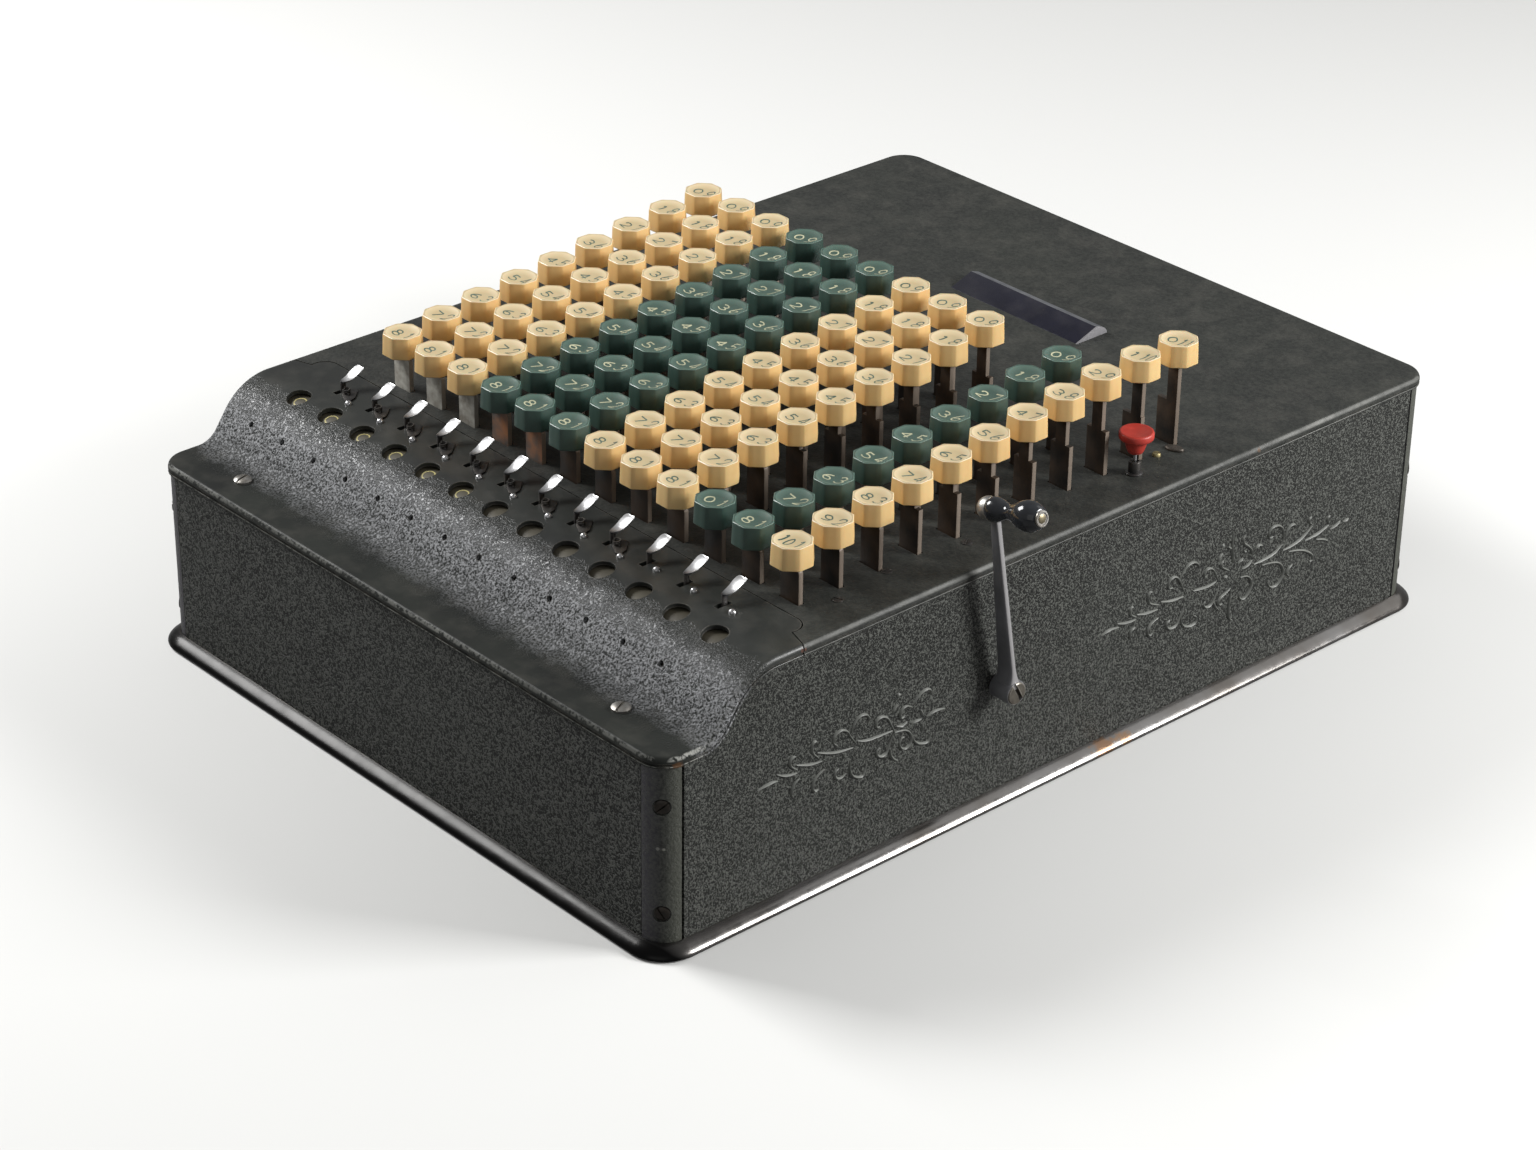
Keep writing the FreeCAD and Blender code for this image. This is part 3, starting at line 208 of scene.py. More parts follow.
# Finishes
# lengths in a finish are in mm; grain is a list of (kind, size, height)
finishes = {
    "smoothEnamel": {
        "colour": (0.018, 0.019, 0.018), "second": (0.022, 0.0235, 0.021), "patch": 45,
        "rough": (0.44, 0.56), "gloss": 0.25, "wear": (0.16, 0.15, 0.13), "wearWidth": 0.5,
        # the rim colour on the next line is a painted highlight on the rolled rim, partly rubbed wear
        "wearAmount": 0.55, "dust": 0.25, "rimWearAndHighlight": (0.17, 0.17, 0.157), "rimSpeckle": (9.0, 0.6),
        # raised colour: painted light on the grain's ridges
        "raised": (0.040, 0.042, 0.037),
        "stains": [((140.6, -125.5, 94.4), 0.7, (0.09, 0.040, 0.027)),
                   ((140.6, 92.0, 94.8), 1.2, (0.11, 0.07, 0.045))],
        "grain": [("fine", 1.1, 0.07), ("noise", 0.35, 0.012)]},
    "coverEnamel": {
        "colour": (0.020, 0.021, 0.020), "second": (0.028, 0.030, 0.027), "patch": 40,
        "rough": (0.28, 0.40), "gloss": 0.30, "wear": (0.22, 0.20, 0.17), "wearWidth": 0.5,
        # the rim colour on this line is a painted highlight on the rolled rim, partly rubbed wear
        "wearAmount": 0.6, "dust": 0.25, "rimWearAndHighlight": (0.38, 0.38, 0.35), "rimSpeckle": (1.3, 0.0),
        # raised colour: a painted sheen on the grained slope
        "rimKept": [("Y", -166, -170, 0.15), ("X", 132, 139, 0.4)], "raised": (0.36, 0.365, 0.375),
        "dull": (-155, -164),
        "stains": [((139.8, -179.0, 71.6), 2.2, (0.11, 0.060, 0.032)),
                   ((140.6, -126.8, 94.4), 0.7, (0.09, 0.040, 0.027))],
        "grain": [("pits", 0.80, 0.24), ("noise", 0.35, 0.015)]},
    "postEnamel": {
        "colour": (0.009, 0.0095, 0.0085), "second": (0.016, 0.017, 0.014), "patch": 18,
        "rough": (0.26, 0.42), "wear": (0.20, 0.20, 0.18), "wearAmount": 0.6, "dust": 0.0,
        # raised colour: painted light on the grain's ridges
        "raised": (0.085, 0.088, 0.076),
        # painted light: the post's faces towards the front and the side are painted lighter here, as lit
        "beside": [("Y", (0.044, 0.041, 0.051)), ("X", (0.062, 0.065, 0.052))],
        "grain": [("fine", 0.75, 0.12), ("noise", 0.35, 0.012)],
        "stains": [((136.0, -184.2, 40.8), 0.8, (0.22, 0.22, 0.20)),
                   ((137.6, -182.8, 40.6), 0.8, (0.24, 0.24, 0.21))]},
    "wrinkleEnamel": {
        "colour": (0.010, 0.010, 0.009), "second": (0.016, 0.017, 0.015), "patch": 60,
        "rough": (0.42, 0.58), "gloss": 0.3, "wear": (0.12, 0.12, 0.10), "wearWidth": 0.4,
        # raised colour: painted light on the grain's ridges
        "wearAmount": 0.3, "dust": 0.0, "raised": (0.112, 0.116, 0.104),
        "grain": [("worms", 0.78, 0.24), ("noise", 0.4, 0.02)]},
    # painted highlight: the scrolls are embossed in the panels' own black paint and are painted lighter, as
    # lit
    "litScrollEnamel": {
        "colour": (0.13, 0.135, 0.122), "second": (0.17, 0.175, 0.16), "patch": 8, "rough": (0.30, 0.44),
        "gloss": 0.6, "wear": (0.24, 0.24, 0.21), "dust": 0.0, "grain": [("noise", 0.9, 0.05)]},
    "nickelTrim": {
        "colour": (0.19, 0.185, 0.18), "second": (0.13, 0.12, 0.11), "patch": 30, "rough": (0.15, 0.25),
        "metal": 1.0, "wear": (0.24, 0.16, 0.09), "wearWidth": 0.4, "wearAmount": 0.35,
        # painted shade: the bead's faces towards the front are painted nearly black
        "front": ((0.015, 0.0148, 0.0145), 0.03),
        "stains": [((145.0, 17.0, 5.0), 7.0, (0.22, 0.13, 0.075)),
                   ((145.0, 27.0, 4.0), 5.0, (0.24, 0.15, 0.09))],
        "grain": [("brushY", 0.6, 0.002), ("noise", 2.5, 0.006)]},
    "creamCap": {
        "colour": (0.66, 0.455, 0.200), "second": (0.60, 0.385, 0.155), "patch": 21, "rough": (0.30, 0.46),
        "top": (0.47, 0.375, 0.220), "wear": (0.74, 0.64, 0.40), "wearWidth": 0.45, "dust": 0.0,
        # painted highlight: the pale line round the edge of each cap top
        "lipHighlight": (0.74, 0.64, 0.44), "flesh": 0.1, "grain": [("noise", 2.2, 0.03), ("noise", 0.5, 0.006)]},
    "greenCap": {
        "colour": (0.030, 0.058, 0.046), "second": (0.042, 0.074, 0.060), "patch": 19,
        "rough": (0.30, 0.46), "top": (0.050, 0.084, 0.067), "wear": (0.12, 0.20, 0.16), "wearWidth": 0.35,
        # painted highlight: the pale line round the edge of each cap top
        "wearAmount": 0.6, "lipHighlight": (0.12, 0.19, 0.155), "flesh": 0.05,
        "grain": [("noise", 2.2, 0.03), ("noise", 0.5, 0.006)]},
    "darkFigure": {
        "colour": (0.045, 0.075, 0.055), "second": (0.10, 0.14, 0.11), "patch": 9, "rough": (0.45, 0.6),
        "wear": (0.25, 0.24, 0.18), "wearWidth": 0.05, "wearAmount": 0.2, "dust": 0.0,
        "grain": [("noise", 0.3, 0.005)]},
    "paleFigure": {
        "colour": (0.46, 0.45, 0.30), "second": (0.30, 0.30, 0.20), "patch": 9, "rough": (0.45, 0.6),
        "wear": (0.2, 0.22, 0.17), "wearWidth": 0.05, "wearAmount": 0.2, "dust": 0.0,
        "grain": [("noise", 0.3, 0.005)]},
    "stemSteel": {
        "colour": (0.020, 0.018, 0.016), "second": (0.055, 0.034, 0.020), "patch": 14, "rough": (0.38, 0.6),
        "metal": 0.3, "wear": (0.36, 0.27, 0.18), "wearAmount": 0.6, "side": (0.17, 0.135, 0.105),
        "grain": [("brushZ", 0.35, 0.02), ("noise", 1.4, 0.02)]},
    "greyStem": {
        "colour": (0.46, 0.45, 0.40), "second": (0.20, 0.18, 0.15), "patch": 5, "rough": (0.4, 0.62),
        # painted shade: the side colour here darkens the stems' right and left faces
        "wear": (0.34, 0.31, 0.27), "side": (0.22, 0.20, 0.17),
        "grain": [("brushZ", 0.35, 0.02), ("noise", 1.4, 0.02)]},
    "rustyStem": {
        "colour": (0.11, 0.10, 0.09), "second": (0.36, 0.16, 0.075), "patch": 7, "rough": (0.5, 0.75),
        "metal": 0.2, "wear": (0.30, 0.22, 0.16), "side": (0.20, 0.15, 0.11),
        "grain": [("brushZ", 0.4, 0.02), ("noise", 0.8, 0.03)]},
    "polishedSteel": {
        "colour": (0.56, 0.56, 0.575), "second": (0.42, 0.415, 0.41), "patch": 5, "rough": (0.22, 0.36),
        "metal": 0.9, "wear": (0.82, 0.82, 0.80), "grain": [("brushY", 0.22, 0.006), ("noise", 0.6, 0.008)]},
    "tabSteel": {
        "colour": (0.64, 0.64, 0.65), "second": (0.50, 0.50, 0.50), "patch": 5, "rough": (0.26, 0.40),
        "metal": 0.75, "wear": (0.85, 0.85, 0.83), "wearAmount": 0.6,
        # painted shade on the tabs' tips
        "tip": (-128.2, -125.5, (0.075, 0.075, 0.08)),
        "grain": [("brushY", 0.22, 0.006), ("noise", 0.6, 0.008)]},
    "darkSteel": {
        "colour": (0.055, 0.054, 0.055), "second": (0.10, 0.09, 0.08), "patch": 12, "rough": (0.3, 0.5),
        "metal": 0.8, "wear": (0.38, 0.36, 0.33), "wearAmount": 0.8, "grain": [("noise", 0.4, 0.012)]},
    "armSteel": {
        "colour": (0.25, 0.25, 0.265), "second": (0.18, 0.18, 0.19), "patch": 14, "rough": (0.30, 0.44),
        "metal": 0.55, "wear": (0.46, 0.45, 0.44), "wearWidth": 0.4, "wearAmount": 0.6,
        # painted highlight: the side colour here lightens the arm's right and left faces
        "side": (0.44, 0.43, 0.43), "grain": [("brushZ", 0.3, 0.006), ("noise", 0.5, 0.012)]},
    "ballSteel": {
        "colour": (0.42, 0.41, 0.39), "second": (0.24, 0.22, 0.19), "patch": 4, "rough": (0.34, 0.52),
        "metal": 1.0, "wear": (0.6, 0.58, 0.55), "wearWidth": 0.4, "grain": [("noise", 0.45, 0.05)]},
    "gripBlack": {
        "colour": (0.012, 0.013, 0.015), "second": (0.020, 0.022, 0.026), "patch": 6, "rough": (0.10, 0.2),
        "wear": (0.10, 0.11, 0.12), "wearAmount": 0.4, "grain": [("noise", 1.2, 0.008)]},
    "pinBrass": {
        "colour": (0.30, 0.26, 0.17), "second": (0.20, 0.17, 0.11), "patch": 2, "rough": (0.35, 0.5),
        "metal": 1.0, "wear": (0.7, 0.62, 0.42), "wearWidth": 0.2, "wearAmount": 0.6,
        "grain": [("noise", 0.3, 0.01)]},
    "buttonRed": {
        "colour": (0.46, 0.042, 0.028), "second": (0.36, 0.030, 0.020), "patch": 5, "rough": (0.34, 0.5),
        "wear": (0.60, 0.13, 0.08), "flesh": 0.05, "grain": [("noise", 0.9, 0.02)]},
    "barFace": {
        "colour": (0.010, 0.010, 0.017), "second": (0.014, 0.014, 0.023), "patch": 12, "rough": (0.2, 0.34),
        "gloss": 0.35, "wear": (0.12, 0.12, 0.15), "wearWidth": 0.25, "wearAmount": 0.4, "dust": 0.15,
        "grain": [("noise", 0.8, 0.008)]},
    "barEdge": {
        "colour": (0.22, 0.225, 0.24), "second": (0.12, 0.125, 0.14), "patch": 8, "rough": (0.34, 0.5),
        "metal": 0.6, "wear": (0.4, 0.4, 0.4), "wearWidth": 0.2, "wearAmount": 0.4,
        "grain": [("noise", 0.5, 0.015)]},
    # painted light: the bar's right cheek is painted light grey, as lit from the right
    "litBarCheek": {
        "colour": (0.21, 0.205, 0.215), "second": (0.16, 0.155, 0.16), "patch": 6, "rough": (0.35, 0.5),
        "wear": (0.4, 0.4, 0.4), "wearWidth": 0.2, "grain": [("noise", 0.5, 0.015)]},
    "wheelPaint": {
        "colour": (0.078, 0.069, 0.046), "second": (0.056, 0.049, 0.033), "patch": 9, "rough": (0.4, 0.6),
        "wear": (0.07, 0.06, 0.04), "wearAmount": 0.4, "dust": 0.2, "grain": [("noise", 0.8, 0.02)]},
    "wheelMark": {
        "colour": (0.52, 0.46, 0.20), "second": (0.42, 0.36, 0.15), "patch": 5, "rough": (0.4, 0.6),
        "wear": (0.3, 0.25, 0.12), "wearWidth": 0.05, "wearAmount": 0.3, "dust": 0.0,
        "grain": [("noise", 0.4, 0.005)]},
    "bronzeScrew": {
        "colour": (0.22, 0.20, 0.165), "second": (0.13, 0.115, 0.095), "patch": 3, "rough": (0.3, 0.45),
        "metal": 0.8, "wear": (0.75, 0.71, 0.63), "wearWidth": 0.6, "wearAmount": 1.0, "dust": 0.0,
        "grain": [("noise", 0.4, 0.02)]},
    "blackScrew": {
        "colour": (0.016, 0.014, 0.012), "second": (0.035, 0.028, 0.022), "patch": 3, "rough": (0.25, 0.4),
        "metal": 0.6, "wear": (0.16, 0.15, 0.13), "wearWidth": 0.2, "dust": 0.0,
        "grain": [("noise", 0.4, 0.02)]},
    "frameSteel": {
        "colour": (0.10, 0.095, 0.085), "second": (0.06, 0.045, 0.035), "patch": 18, "rough": (0.4, 0.6),
        "metal": 0.8, "wear": (0.25, 0.22, 0.18), "dust": 0.2, "grain": [("noise", 0.8, 0.02)]},
    "feltGreen": {
        "colour": (0.030, 0.042, 0.030), "second": (0.045, 0.060, 0.045), "patch": 12,
        "rough": (0.85, 0.95), "wear": (0.06, 0.07, 0.06), "wearAmount": 0.2, "dust": 0.2,
        "grain": [("noise", 0.4, 0.08)]},
    "brassScrew": {
        "colour": (0.40, 0.34, 0.17), "second": (0.24, 0.19, 0.10), "patch": 3, "rough": (0.35, 0.5),
        "metal": 0.8, "wear": (0.5, 0.45, 0.28), "wearWidth": 0.2, "grain": [("noise", 0.3, 0.02)]},
}


# what a finish has where it names nothing else
usual = {"metal": 0.0, "gloss": 0.5, "wearWidth": 0.3, "wearAmount": 0.5, "dust": 0.1}
dustTint = (0.30, 0.28, 0.24)

# where each pattern starts and where it is full, in shares of its noise
patternEdges = {
    "patch": (0.35, 0.65), "worms": (0.46, 0.60), "pits": (0.38, 0.61), "fine": (0.8, 1.2),
    "scuffs": (0.42, 0.62), "rubbedAndLit": (0.40, 0.60), "speckle": (0.40, 0.55), "dust": (0.45, 0.75),
    "even": (0.3, 0.7),
}
patternShare = {"worms": 0.9, "pits": 0.9, "fine": 0.6}

# the same for how far a face turns towards an axis
turnEdges = {
    "beside": (0.72, 0.97), "side": (0.6, 0.9), "up": (0.75, 0.97), "worn": (0.99, 0.80),
    "front": (-0.12, -0.36), "curl": [(0.20, 0.42), (0.92, 0.76)], "lip": [(0.30, 0.55), (0.965, 0.86)],
}

# in mm: where the cover's coarse grain lies in colour (its painted sheen) and in height, how far that wavers,
# and the rolled rim's painted highlight
grainBand = {"colour": [(-173.5, -158.5), (-148.0, -156.0)], "height": [(-178.0, -170.0), (-142.0, -146.0)],
             "waver": 2.0}
rimBand = {"X": (138.4, 139.0), "Y": (184.6, 185.2)}


def makeFinish(name, ownLook):
    look = {**usual, **ownLook}
    finish = bpy.data.materials.new(name)
    finish.use_nodes = True
    tree = finish.node_tree
    shader = tree.nodes["Principled BSDF"]
    place = tree.nodes.new("ShaderNodeTexCoord").outputs["Object"]

    def add(kind, inputs=(), **settings):
        node = tree.nodes.new(kind)
        for key, value in settings.items():
            setattr(node, key, value)
        for key, value in dict(inputs).items():
            if isinstance(value, bpy.types.NodeSocket):
                tree.links.new(value, node.inputs[key])
            else:
                node.inputs[key].default_value = value
        return node

    def stretched(kind):
        # brushed metal: the pattern is drawn out along one axis
        scale = {"brushY": (1, 0.06, 1), "brushZ": (1, 1, 0.05)}.get(kind)
        if scale is None:
            return place
        return add("ShaderNodeMapping", {"Vector": place, "Scale": scale}).outputs["Vector"]

    def noise(size, detail=3.0, kind="noise", twist=0.0):
        node = add("ShaderNodeTexNoise", {"Vector": stretched(kind), "Scale": 1000 / size, "Detail": detail,
                                          "Roughness": 0.55, "Distortion": twist})
        return node.outputs["Fac"]

    def ramp(value, low, high, bottom=0.0, top=1.0, unit=1.0):
        return add("ShaderNodeMapRange", {"Value": value, "From Min": low * unit, "From Max": high * unit,
                                          "To Min": bottom, "To Max": top}).outputs["Result"]

    def times(a, b, operation="MULTIPLY"):
        return add("ShaderNodeMath", {0: a, 1: b}, operation=operation).outputs[0]

    def between(value, rising, falling, unit=1.0):
        return times(ramp(value, *rising, unit=unit), ramp(value, *falling, unit=unit))

    def absolute(value):
        return add("ShaderNodeMath", {0: value}, operation="ABSOLUTE").outputs[0]

    def blend(amount, a, b):
        node = add("ShaderNodeMix", {0: amount}, data_type="RGBA")
        for socket, value in ((node.inputs[6], a), (node.inputs[7], b)):
            if isinstance(value, bpy.types.NodeSocket):
                tree.links.new(value, socket)
            else:
                socket.default_value = (*value, 1.0)
        return node.outputs[2]

    face = add("ShaderNodeNewGeometry")
    facing = add("ShaderNodeSeparateXYZ", {"Vector": face.outputs["Normal"]}).outputs
    where = add("ShaderNodeSeparateXYZ", {"Vector": place}).outputs

    patches = ramp(noise(look["patch"], 4.0), *patternEdges["patch"])
    colour = blend(patches, look["colour"], look["second"])
    for axis, tint in look.get("beside", ()):
        # painted light: faces turned towards the front and towards the side panel are painted lighter, as lit
        # faces, while the round between them stays dark
        colour = blend(ramp(absolute(facing[axis]), *turnEdges["beside"]), colour, tint)

    normal = None
    # the grain's ridges are painted paler than its hollows: the paint's own grain, with painted light on the
    # ridges and painted shade in the hollows
    for kind, grainSize, height in look["grain"]:
        if kind == "worms":
            pattern = ramp(noise(grainSize, 1.5, twist=0.8), *patternEdges["worms"])
            colour = blend(times(pattern, patternShare["worms"]), colour, look["raised"])
        elif kind == "pits":
            # coarse on the slope only: it fades towards the lip and the windows; its pale colour, a painted
            # sheen of the lit slope, lies on the slope alone
            waver = grainBand["waver"] * mm
            along = times(where["Y"], ramp(noise(6.0, 2.0), *patternEdges["even"], -waver, waver), "ADD")
            sloping = between(along, *grainBand["colour"], unit=mm)
            pattern = ramp(noise(grainSize, 2.0, twist=0.3), *patternEdges["pits"])
            colour = blend(times(pattern, times(sloping, patternShare["pits"])), colour, look["raised"])
            pattern = times(pattern, between(along, *grainBand["height"], unit=mm))
        elif kind == "fine":
            both = times(noise(grainSize, 3.0, twist=0.6), noise(grainSize * 1.7, 2.0), "ADD")
            pattern = ramp(both, *patternEdges["fine"])
            colour = blend(times(pattern, patternShare["fine"]), colour, look["raised"])
        else:
            pattern = noise(grainSize, 3.0, kind)
        bump = add("ShaderNodeBump", {"Height": pattern, "Distance": height * mm, "Strength": 1.0})
        if normal is not None:
            tree.links.new(normal, bump.inputs["Normal"])
        normal = bump.outputs["Normal"]

    # painted light and wear on faces turned to ±X: a painted highlight on the crank arm's sides, painted
    # shade on the grey stems' sides, bare metal on the other stems' edges
    if "side" in look:
        colour = blend(ramp(absolute(facing["X"]), *turnEdges["side"]), colour, look["side"])
    # painted shade: the thumb tabs are painted dark towards their tips
    if "tip" in look:
        dark, light, tint = look["tip"]
        colour = blend(ramp(where["Y"], light, dark, unit=mm), colour, tint)

    # worn edges: where a rounded normal leaves the face's own
    edge = add("ShaderNodeBevel", {"Radius": look["wearWidth"] * mm}, samples=4)
    turn = add("ShaderNodeVectorMath", {0: edge.outputs["Normal"], 1: face.outputs["Normal"]},
               operation="DOT_PRODUCT")
    worn = ramp(turn.outputs["Value"], *turnEdges["worn"])
    scuffs = ramp(noise(look["wearWidth"] * 12, 5.0), *patternEdges["scuffs"])
    colour = blend(times(times(worn, scuffs), look["wearAmount"]), colour, look["wear"])

    if "rimWearAndHighlight" in look:
        # painted highlight, partly wear: the curl of the rolled rim is painted bright in stretches, as a lit
        # edge that is also rubbed in places
        outer = times(ramp(absolute(where["X"]), *rimBand["X"], unit=mm),
                      ramp(absolute(where["Y"]), *rimBand["Y"], unit=mm), "MAXIMUM")
        curl = between(facing["Z"], *turnEdges["curl"])
        speckle, least = look["rimSpeckle"]
        rubbedAndLit = times(ramp(noise(60.0, 2.0), *patternEdges["rubbedAndLit"], 0.45, 1.0),
                       ramp(noise(speckle, 2.0), *patternEdges["speckle"], least, 1.0))
        for axis, start, end, least in look.get("rimKept", ()):
            rubbedAndLit = times(rubbedAndLit, ramp(where[axis], start, end, least, 1.0, unit=mm))
        colour = blend(times(times(outer, curl), rubbedAndLit), colour, look["rimWearAndHighlight"])

    upward = ramp(facing["Z"], *turnEdges["up"])
    if "top" in look:
        colour = blend(upward, colour, look["top"])
    if "lipHighlight" in look:
        # painted highlight: a pale line round the edge of the top
        colour = blend(between(facing["Z"], *turnEdges["lip"]), colour, look["lipHighlight"])
    if look["dust"]:
        settled = times(times(upward, ramp(noise(9.0, 6.0), *patternEdges["dust"])), look["dust"] * 0.25)
        colour = blend(settled, colour, dustTint)

    for spot, radius, tint in look.get("stains", ()):
        distance = add("ShaderNodeVectorMath", {0: place, 1: Vector(spot) * mm}, operation="DISTANCE")
        ragged = times(distance.outputs["Value"], ramp(noise(2.5, 4.0), *patternEdges["even"], 0.7, 1.6))
        colour = blend(ramp(ragged, radius, radius * 0.6, 0.0, 0.85, unit=mm), colour, tint)

    rough = ramp(noise(7.0, 5.0), *patternEdges["even"], *look["rough"])
    if "front" in look:
        # painted shade: the plating is painted nearly black where it faces the front, and a little rougher
        # there
        tint, more = look["front"]
        shadedFront = ramp(facing["Y"], *turnEdges["front"])
        colour = blend(shadedFront, colour, tint)
        rough = times(rough, times(shadedFront, more), "ADD")
    tree.links.new(colour, shader.inputs["Base Color"])
    tree.links.new(rough, shader.inputs["Roughness"])
    tree.links.new(normal, shader.inputs["Normal"])
    shader.inputs["Metallic"].default_value = look["metal"]
    shader.inputs["Specular IOR Level"].default_value = look["gloss"]
    if "dull" in look:
        # the paint has lost its gloss towards the lip
        glossy, dull = look["dull"]
        fade = ramp(where["Y"], dull, glossy, 0.05, look["gloss"], unit=mm)
        tree.links.new(fade, shader.inputs["Specular IOR Level"])
    if "flesh" in look:
        # light goes a little way into the moulded caps
        shader.inputs["Subsurface Weight"].default_value = look["flesh"]
        shader.inputs["Subsurface Scale"].default_value = 0.002
    return finish


paint = {name: makeFinish(name, look) for name, look in finishes.items()}
print("finishes ready:", len(paint))

# The solids that stay in view keep their mesh and get their finish
solidFinishes = {
    "base_plate": "smoothEnamel", "felt_pad": "feltGreen", "front_panel": "wrinkleEnamel",
    "rear_panel": "wrinkleEnamel", "side_panel_left": "wrinkleEnamel", "side_panel_right": "wrinkleEnamel",
    "side_frames": "frameSteel", "frame_rods": "frameSteel",
    "key_guide": "frameSteel", "column_levers": "frameSteel", "crank_shaft": "frameSteel",
}
for nodeName, finishName in solidFinishes.items():
    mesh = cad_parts[nodeName].data
    if not mesh.materials:
        mesh.materials.append(paint[finishName])
    for i in range(len(mesh.materials)):
        mesh.materials[i] = paint[finishName]
print("solids painted:", len(solidFinishes))


# Cover and key plate
rim = {"across": 1.8, "down": 2.3, "groove": 0.6, "grooveFrom": 2.6, "grooveTo": 3.2, "grooveEase": 0.12,
       "footEase": 0.34, "footCut": 0.15, "inset": 3.4, "lipInset": 3.2, "arcSteps": 7, "cornerSteps": 14}
sheet = {"crestSteps": 40, "sweepSteps": 24, "coverOverlap": 1, "plateOverlap": 14}
window = {"radius": 4.65, "tilt": 12.0, "firstX": -113.45, "count": 13}
windowLip = [(4.62, -1.3), (4.62, -0.12), (4.70, 0.03), (4.84, 0.08), (4.98, 0.02), (5.04, -0.14),
             (5.04, -1.3)]
pinHole = {"radius": 1.15, "firstX": -122.97, "y": -156.9, "z": 85.6}
keySlot = {"halfX": 4.85, "halfY": 1.45}
buttonHole = 1.5
leverSlot = {"offset": -12.0, "halfWidth": 1.15, "front": -131.2, "rear": -125.15}
seam = {"step": 10.4, "slant": 18.0, "lobeInset": 14.6, "lobeRadius": 5.5, "open": 0.55}
# how far the cutters reach: heights of the seam's and of the slots' cutters, and x and y past the sheet
cut = {"seamLow": 80, "seamHigh": 110, "slotLow": 90, "slotHigh": 99, "side": 160, "behind": -100,
       "ahead": -140, "deep": 4}


def coverStations():
    # (y, z, normal y, normal z) down the middle of the cover, from behind the seam to the lip
    slope = math.radians(machine["slopeAngle"])
    crest = (machine["crestY"], machine["plateTop"] - machine["crestRadius"])
    radii = machine["crestRadius"] + machine["sweepRadius"]
    drop = machine["plateTop"] - machine["lipTop"] - radii * (1 - math.cos(slope))
    sweepY = crest[0] - radii * math.sin(slope) - drop / math.tan(slope)
    sweep = (sweepY, machine["lipTop"] + machine["sweepRadius"])
    stations = [(machine["seamY"] + sheet["coverOverlap"], machine["plateTop"], 0, 1)]
    down = [slope * k / sheet["crestSteps"] for k in range(sheet["crestSteps"] + 1)]
    back = [slope * (1 - k / sheet["sweepSteps"]) for k in range(sheet["sweepSteps"] + 1)]
    for centre, radius, angles in ((crest, machine["crestRadius"], down),
                                   (sweep, -machine["sweepRadius"], back)):
        for a in angles:
            n = (-math.sin(a), math.cos(a))
            stations.append((centre[0] + radius * n[0], centre[1] + radius * n[1], *n))
    return stations


def rimSection():
    # (inset, depth) round the rolled edge, from the top face to the underside
    high, groove, foot = machine["edgeHeight"], rim["groove"], rim["grooveTo"]
    section = [(rim["inset"], 0.0)]
    for k in range(rim["arcSteps"] + 1):
        a = math.pi / 2 * k / rim["arcSteps"]
        section.append((rim["across"] * (1 - math.sin(a)), rim["down"] * (1 - math.cos(a))))
    # a fine groove, then the foot of the rim
    section += [(groove, rim["grooveFrom"]), (groove, foot), (rim["grooveEase"], foot + rim["grooveEase"]),
                (0.0, foot + rim["footEase"]), (0.0, high - rim["footCut"]), (rim["footCut"], high)]
    section += [(rim["lipInset"], high), (rim["lipInset"], machine["plateThickness"])]
    return section


def shellShape(stations, side):
    # closed shell: stations down one side, round the corner (side -1 front, +1 rear) and back up the other
    x, y, r = machine["edgeX"], machine["edgeY"], machine["edgeCorner"]
    z = stations[-1][1]
    path = [(x, s[0], 1.0, 0.0, s[1], s[2], s[3]) for s in stations]
    for k in range(rim["cornerSteps"] + 1):
        a = math.pi / 2 * k / rim["cornerSteps"]
        nx, ny = math.cos(a), side * math.sin(a)
        path.append((x - r + r * nx, side * (y - r) + r * ny, nx, ny, z, 0, 1))
    section = rimSection()
    rings = []
    for px, py, nx, ny, pz, sy, sz in path:
        right = [(px - d * nx, py - d * ny - h * sy, pz - h * sz) for d, h in section]
        left = [(-a, b, c) for a, b, c in right]
        rings.append(right + left[::-1])
    points, faces = loft(rings, capEnd=False)
    # rungs between the last right and left sections close the front or rear edge
    start, last = len(points) - 2 * len(section), len(points) - 1
    faces += [[start + j, start + j + 1, last - j - 1, last - j] for j in range(len(section) - 1)]
    return points, faces


def seamLine(shift, steps=14, beyondSide=4):
    # the seam from right to left: in from the right edge, round a lobe, across, and the same mirrored
    slant = math.radians(seam["slant"])
    lobe = (machine["edgeX"] - seam["lobeInset"], machine["seamY"] - seam["lobeRadius"])
    radius = seam["lobeRadius"] + shift
    corner = (machine["edgeX"], machine["seamY"] - seam["step"] + shift / math.cos(slant))
    along = (-math.cos(slant), math.sin(slant))
    offset = (lobe[0] - corner[0], lobe[1] - corner[1])
    reach = offset[0] * along[0] + offset[1] * along[1]
    aside = offset[0] * along[1] - offset[1] * along[0]
    reach -= math.sqrt(radius**2 - aside**2)
    foot = (corner[0] + reach * along[0], corner[1] + reach * along[1])
    turn = math.degrees(math.atan2(foot[1] - lobe[1], foot[0] - lobe[0]))
    beyond = (corner[0] - beyondSide * along[0], corner[1] - beyondSide * along[1])
    right = [beyond] + arcPoints(lobe, radius, turn, 90, steps)
    return right + [(-px, py) for px, py in right[::-1]]


def columnPlace(column):
    return machine["columnX"] + column * machine["columnPitch"]


def rowPlace(row):
    return machine["rowY"] + row * machine["rowPitch"]


def slotCutter(x0, y0, x1, y1):
    return block(x0, y0, cut["slotLow"], x1, y1, cut["slotHigh"])


